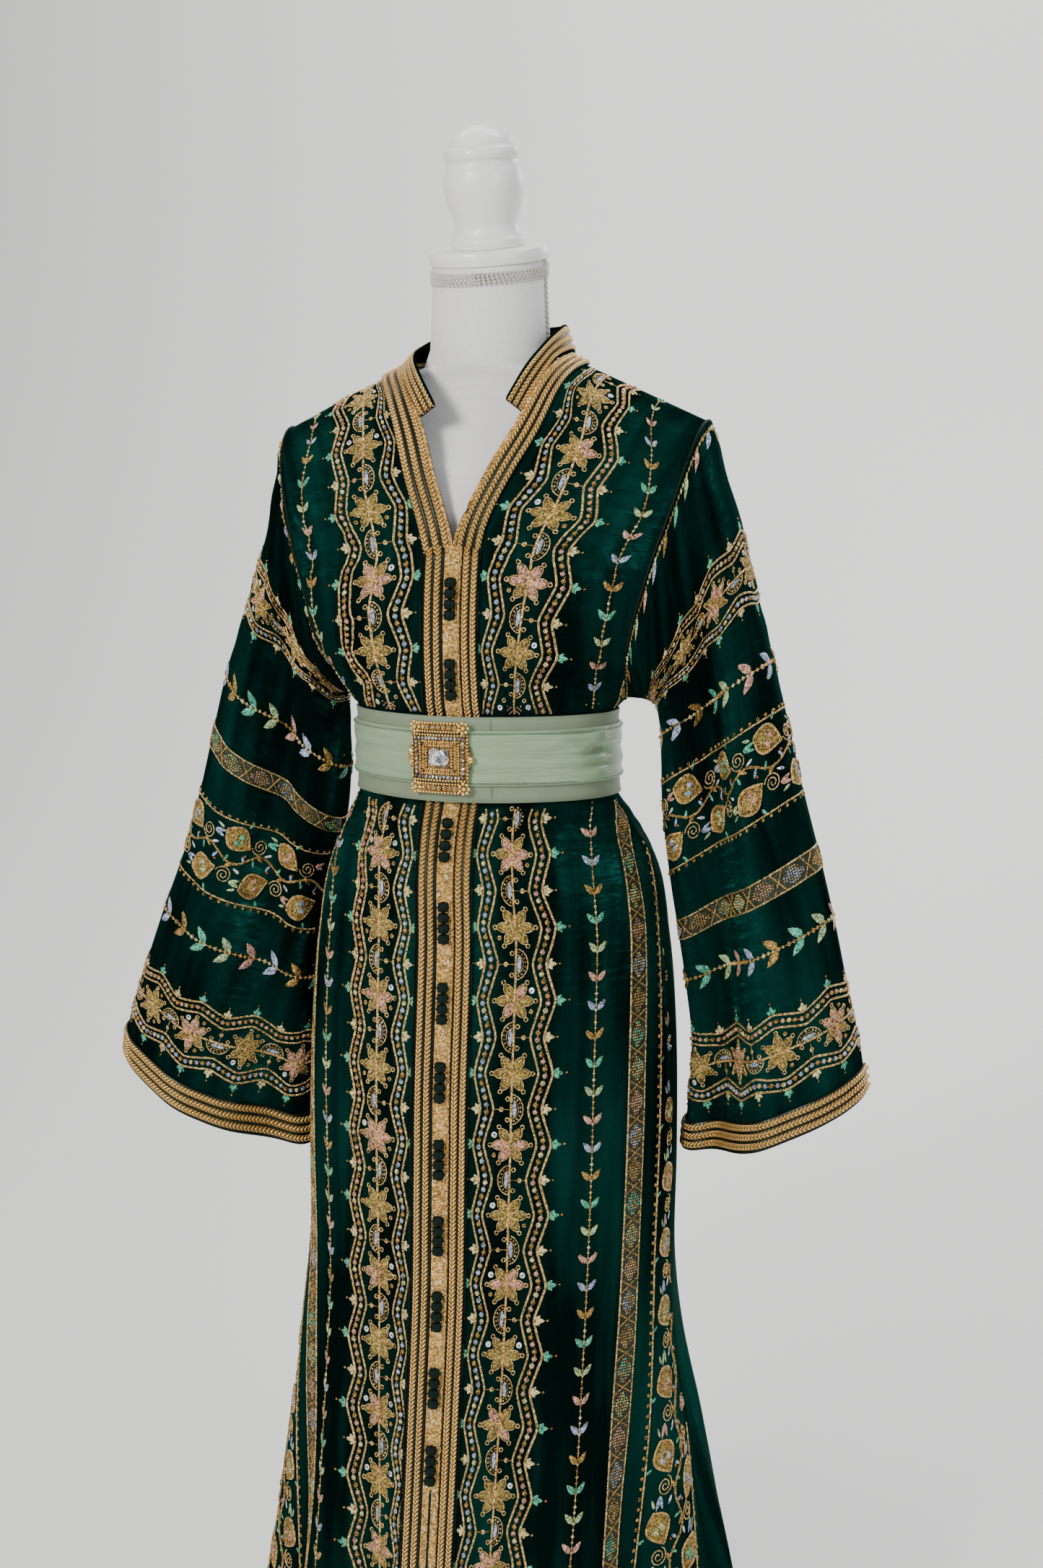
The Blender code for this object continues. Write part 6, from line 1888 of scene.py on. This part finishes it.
def turned_piece(name, profile, material, replaces, seat, tilt, sides):
    """A turned body: a profile of (height, radius) spun about its axis, softened, then tilted onto its seat."""
    bm = bmesh.new()
    points = [(0.0, profile[0][0])] + [(r, z) for z, r in profile] + [(0.0, profile[-1][0])]
    verts = [bm.verts.new((r, 0.0, z)) for r, z in points]
    edges = [bm.edges.new(pair) for pair in zip(verts, verts[1:])]
    bmesh.ops.spin(bm, geom=verts + edges, cent=(0, 0, 0), axis=(0, 0, 1), angle=2 * math.pi, steps=sides,
                   use_merge=True)
    bmesh.ops.remove_doubles(bm, verts=bm.verts, dist=1e-6)
    bmesh.ops.recalc_face_normals(bm, faces=bm.faces)
    bmesh.ops.transform(bm, verts=bm.verts, matrix=Matrix.Translation(seat) @ Matrix.Rotation(tilt, 4, "X"))
    mesh = bpy.data.meshes.new(name)
    bm.to_mesh(mesh)
    bm.free()
    return piece_from(name, mesh, material, (replaces,), sharp=28)


def softened(profile, steps=6):
    """More points along a profile, rounded between its own."""
    rows = np.array(profile)
    lengths = np.concatenate([[0.0], np.cumsum(np.linalg.norm(np.diff(rows, axis=0), axis=1))])
    reads = np.linspace(0, lengths[-1], len(rows) * steps)
    reads = np.unique(np.concatenate([reads, lengths]))
    return list(zip(np.interp(reads, lengths, rows[:, 0]), smooth(lengths, rows[:, 1], reads)))


def make_cap():
    leaning = Vector((0.0, -math.sin(PLATE_TILT), math.cos(PLATE_TILT)))
    seat = Vector((PLATE_CENTRE, 0.0, NECK_TOP))
    edge = PLATE_HEIGHT
    plate = ((0.0, PLATE_RADIUS - 0.0015), (0.0006, PLATE_RADIUS - 0.0004), (0.002, PLATE_RADIUS),
             (edge - 0.0035, PLATE_RADIUS), (edge - 0.0014, PLATE_RADIUS - 0.0008), (edge - 0.0004, PLATE_RADIUS - 0.002),
             (edge, PLATE_RADIUS - 0.004))
    turned_piece("painted_plate", plate, painted_wood(), "neck_plate", seat + leaning * SEAM, PLATE_TILT, 96)
    turned_piece("painted_finial", softened(FINIAL), painted_wood(), "finial",
                 seat + leaning * (PLATE_HEIGHT + 2 * SEAM), PLATE_TILT, 64)


def make_stand():
    foot = [(0.0, BASE_RADIUS - 0.001), (0.001, BASE_RADIUS)]
    for k in range(7):
        turn = math.pi / 2 * k / 6
        foot.append((BASE_THICKNESS - BASE_EDGE * (1 - math.sin(turn)),
                     BASE_RADIUS - BASE_EDGE * (1 - math.cos(turn))))
    turned_piece("painted_base", foot, stand_paint(), "stand_base", (0, 0, 0), 0.0, 128)
    bottom, top = BASE_THICKNESS + SEAM, FORM[0][0] - SEAM
    pole = [(0.0, 0.026), (0.0165, 0.026), (0.0180, 0.0250), (0.0192, 0.0225), (0.0206, 0.0175), (0.022, POLE_RADIUS)]
    pole += [(top - bottom, POLE_RADIUS)]
    turned_piece("painted_pole", pole, stand_paint(), "stand_pole", (0, 0, bottom), 0.0, 48)


# The room
def set_camera():
    camera = bpy.data.objects.new("camera", bpy.data.cameras.new("camera"))
    camera.data.lens, camera.data.sensor_width, camera.data.sensor_fit = 42.4, 36.0, "AUTO"
    heading, pitch = math.radians(20.0 - 1.046), math.radians(-8.4)
    ahead = Vector((-math.sin(heading) * math.cos(pitch), math.cos(heading) * math.cos(pitch), math.sin(pitch)))
    place = Matrix.Translation((0.602, -1.654, 1.320)) @ ahead.to_track_quat("-Z", "Y").to_matrix().to_4x4()
    camera.matrix_world = place
    bpy.context.scene.collection.objects.link(camera)
    bpy.context.scene.camera = camera


def add_light(name, place, aim, size, power, colour=(1.0, 1.0, 1.0)):
    data = bpy.data.lights.new(name, "AREA")
    data.shape, data.size, data.size_y = "RECTANGLE", *size
    data.energy, data.color = power, colour
    light = bpy.data.objects.new(name, data)
    light.location = place
    light.rotation_euler = (Vector(aim) - Vector(place)).to_track_quat("-Z", "Y").to_euler()
    bpy.context.scene.collection.objects.link(light)
    return light


def set_room():
    """A pale floor that sweeps up into a pale wall far behind, and plain soft light."""
    bend = np.linspace(0, math.pi / 2, 25)
    profile = np.array([(-9.0, 0.0), *zip(1.2 + 2.8 * np.sin(bend), 2.8 - 2.8 * np.cos(bend)), (4.0, 7.0)])
    across = np.linspace(-9.0, 9.0, 3)
    points = np.array([[(x, y, z) for x in across] for y, z in profile])
    mesh = grid_mesh("backdrop", points, None, np.broadcast_to((0.0, -1.0, 1.0), points.shape))
    mesh.shade_smooth()
    mesh.materials.append(Finish("pale_backdrop", (0.74, 0.73, 0.72), 0.8).material)
    backdrop = bpy.data.objects.new("backdrop", mesh)
    bpy.context.scene.collection.objects.link(backdrop)
    backdrop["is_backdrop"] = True
    world = bpy.data.worlds.new("studio")
    world.use_nodes = True
    world.node_tree.nodes["Background"].inputs[0].default_value = (0.90, 0.90, 0.92, 1.0)
    world.node_tree.nodes["Background"].inputs[1].default_value = 0.55
    bpy.context.scene.world = world
    add_light("key", (-0.9, -2.6, 2.3), (0, 0, 0.95), (0.7, 0.9), 85.0, (1.0, 0.98, 0.95))
    add_light("fill", (2.4, -1.8, 1.9), (0, 0, 0.95), (1.4, 1.8), 32.0, (0.95, 0.98, 1.0))
    add_light("backdrop", (0.0, 0.9, 4.2), (0.0, 3.6, 1.3), (4.0, 1.0), 190.0)
    add_light("back", (1.4, 2.8, 2.6), (0, 0, 1.0), (1.2, 1.2), 30.0)


# Sizes and colours, operators and panel
class KaftanSettings(bpy.types.PropertyGroup):
    """Sizes and colours that a maker would change."""

    crease_depth: FloatProperty(name="Crease depth", description="How deep the satin's creases are", default=1.0,
                                min=0.0, max=2.0, subtype="FACTOR")
    satin_colour: FloatVectorProperty(name="Satin", description="Colour of the satin", subtype="COLOR",
                                      default=(0.0010, 0.0235, 0.0185))
    gold_colour: FloatVectorProperty(name="Gold", description="Colour of cords and braid", subtype="COLOR",
                                     default=(0.72, 0.43, 0.125))
    belt_colour: FloatVectorProperty(name="Belt", description="Colour of the belt's satin strip", subtype="COLOR",
                                     default=(0.245, 0.365, 0.215))


class KAFTAN_OT_panels(bpy.types.Operator):
    """Cut the two fronts and the back"""
    bl_idname, bl_label = "kaftan.panels", "Panels"

    def execute(self, context):
        cut_panels()
        return {"FINISHED"}


class KAFTAN_OT_sleeves(bpy.types.Operator):
    """Hang the sleeves with their linings and hem cords"""
    bl_idname, bl_label = "kaftan.sleeves", "Sleeves"

    def execute(self, context):
        cut_sleeves()
        return {"FINISHED"}


class KAFTAN_OT_braids(bpy.types.Operator):
    """Sew the placket, neckline and collar braids"""
    bl_idname, bl_label = "kaftan.braids", "Braids and collar"

    def execute(self, context):
        sew_placket()
        sew_picots("right", -PLACKET_EDGE - 0.0014, -1)
        sew_picots("left", NARROW_EDGE + 0.0014, 1)
        cut_slit()
        sew_neckline()
        sew_armholes()
        sew_collar()
        return {"FINISHED"}


class KAFTAN_OT_buttons(bpy.types.Operator):
    """Sew the groups of knot buttons"""
    bl_idname, bl_label = "kaftan.buttons", "Knot buttons"

    def execute(self, context):
        sew_buttons()
        return {"FINISHED"}


class KAFTAN_OT_belt(bpy.types.Operator):
    """Put on the belt and its buckle"""
    bl_idname, bl_label = "kaftan.belt", "Belt and buckle"

    def execute(self, context):
        sew_belt()
        make_buckle()
        return {"FINISHED"}


class KAFTAN_OT_embroidery(bpy.types.Operator):
    """Embroider the fronts and the sleeves"""
    bl_idname, bl_label = "kaftan.embroidery", "Embroidery"

    def execute(self, context):
        embroider_fronts()
        embroider_sleeves()
        return {"FINISHED"}


class KAFTAN_OT_form(bpy.types.Operator):
    """Build the dress form, its cap and its stand"""
    bl_idname, bl_label = "kaftan.form", "Dress form and stand"

    def execute(self, context):
        make_form()
        make_cap()
        make_stand()
        return {"FINISHED"}


class KAFTAN_OT_room(bpy.types.Operator):
    """Set the floor, the lights and the camera"""
    bl_idname, bl_label = "kaftan.room", "Room, lights and camera"

    def execute(self, context):
        set_room()
        set_camera()
        return {"FINISHED"}


PIECES = (KAFTAN_OT_panels, KAFTAN_OT_sleeves, KAFTAN_OT_braids, KAFTAN_OT_buttons, KAFTAN_OT_belt,
          KAFTAN_OT_embroidery, KAFTAN_OT_form, KAFTAN_OT_room)


class KAFTAN_PT_panel(bpy.types.Panel):
    """The kaftan's pieces, in the order in which they are made"""
    bl_label, bl_space_type, bl_region_type, bl_category = "Kaftan", "VIEW_3D", "UI", "Kaftan"

    def draw(self, context):
        settings = context.scene.kaftan
        for name in ("crease_depth", "satin_colour", "gold_colour", "belt_colour"):
            self.layout.prop(settings, name)
        for piece in PIECES:
            self.layout.operator(piece.bl_idname)


CLASSES = (KaftanSettings, *PIECES, KAFTAN_PT_panel)


def register():
    for cls in CLASSES:
        bpy.utils.register_class(cls)
    bpy.types.Scene.kaftan = PointerProperty(type=KaftanSettings)


def unregister():
    del bpy.types.Scene.kaftan
    for cls in reversed(CLASSES):
        bpy.utils.unregister_class(cls)


def main():
    register()
    for piece in PIECES:
        group, action = piece.bl_idname.split(".")
        getattr(getattr(bpy.ops, group), action)()
    {"cad": plain(CAD_BOX), "visual": plain(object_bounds())}


def plain(box):
    return [[float(v) for v in corner] for corner in box]


if __name__ == "__main__":
    main()
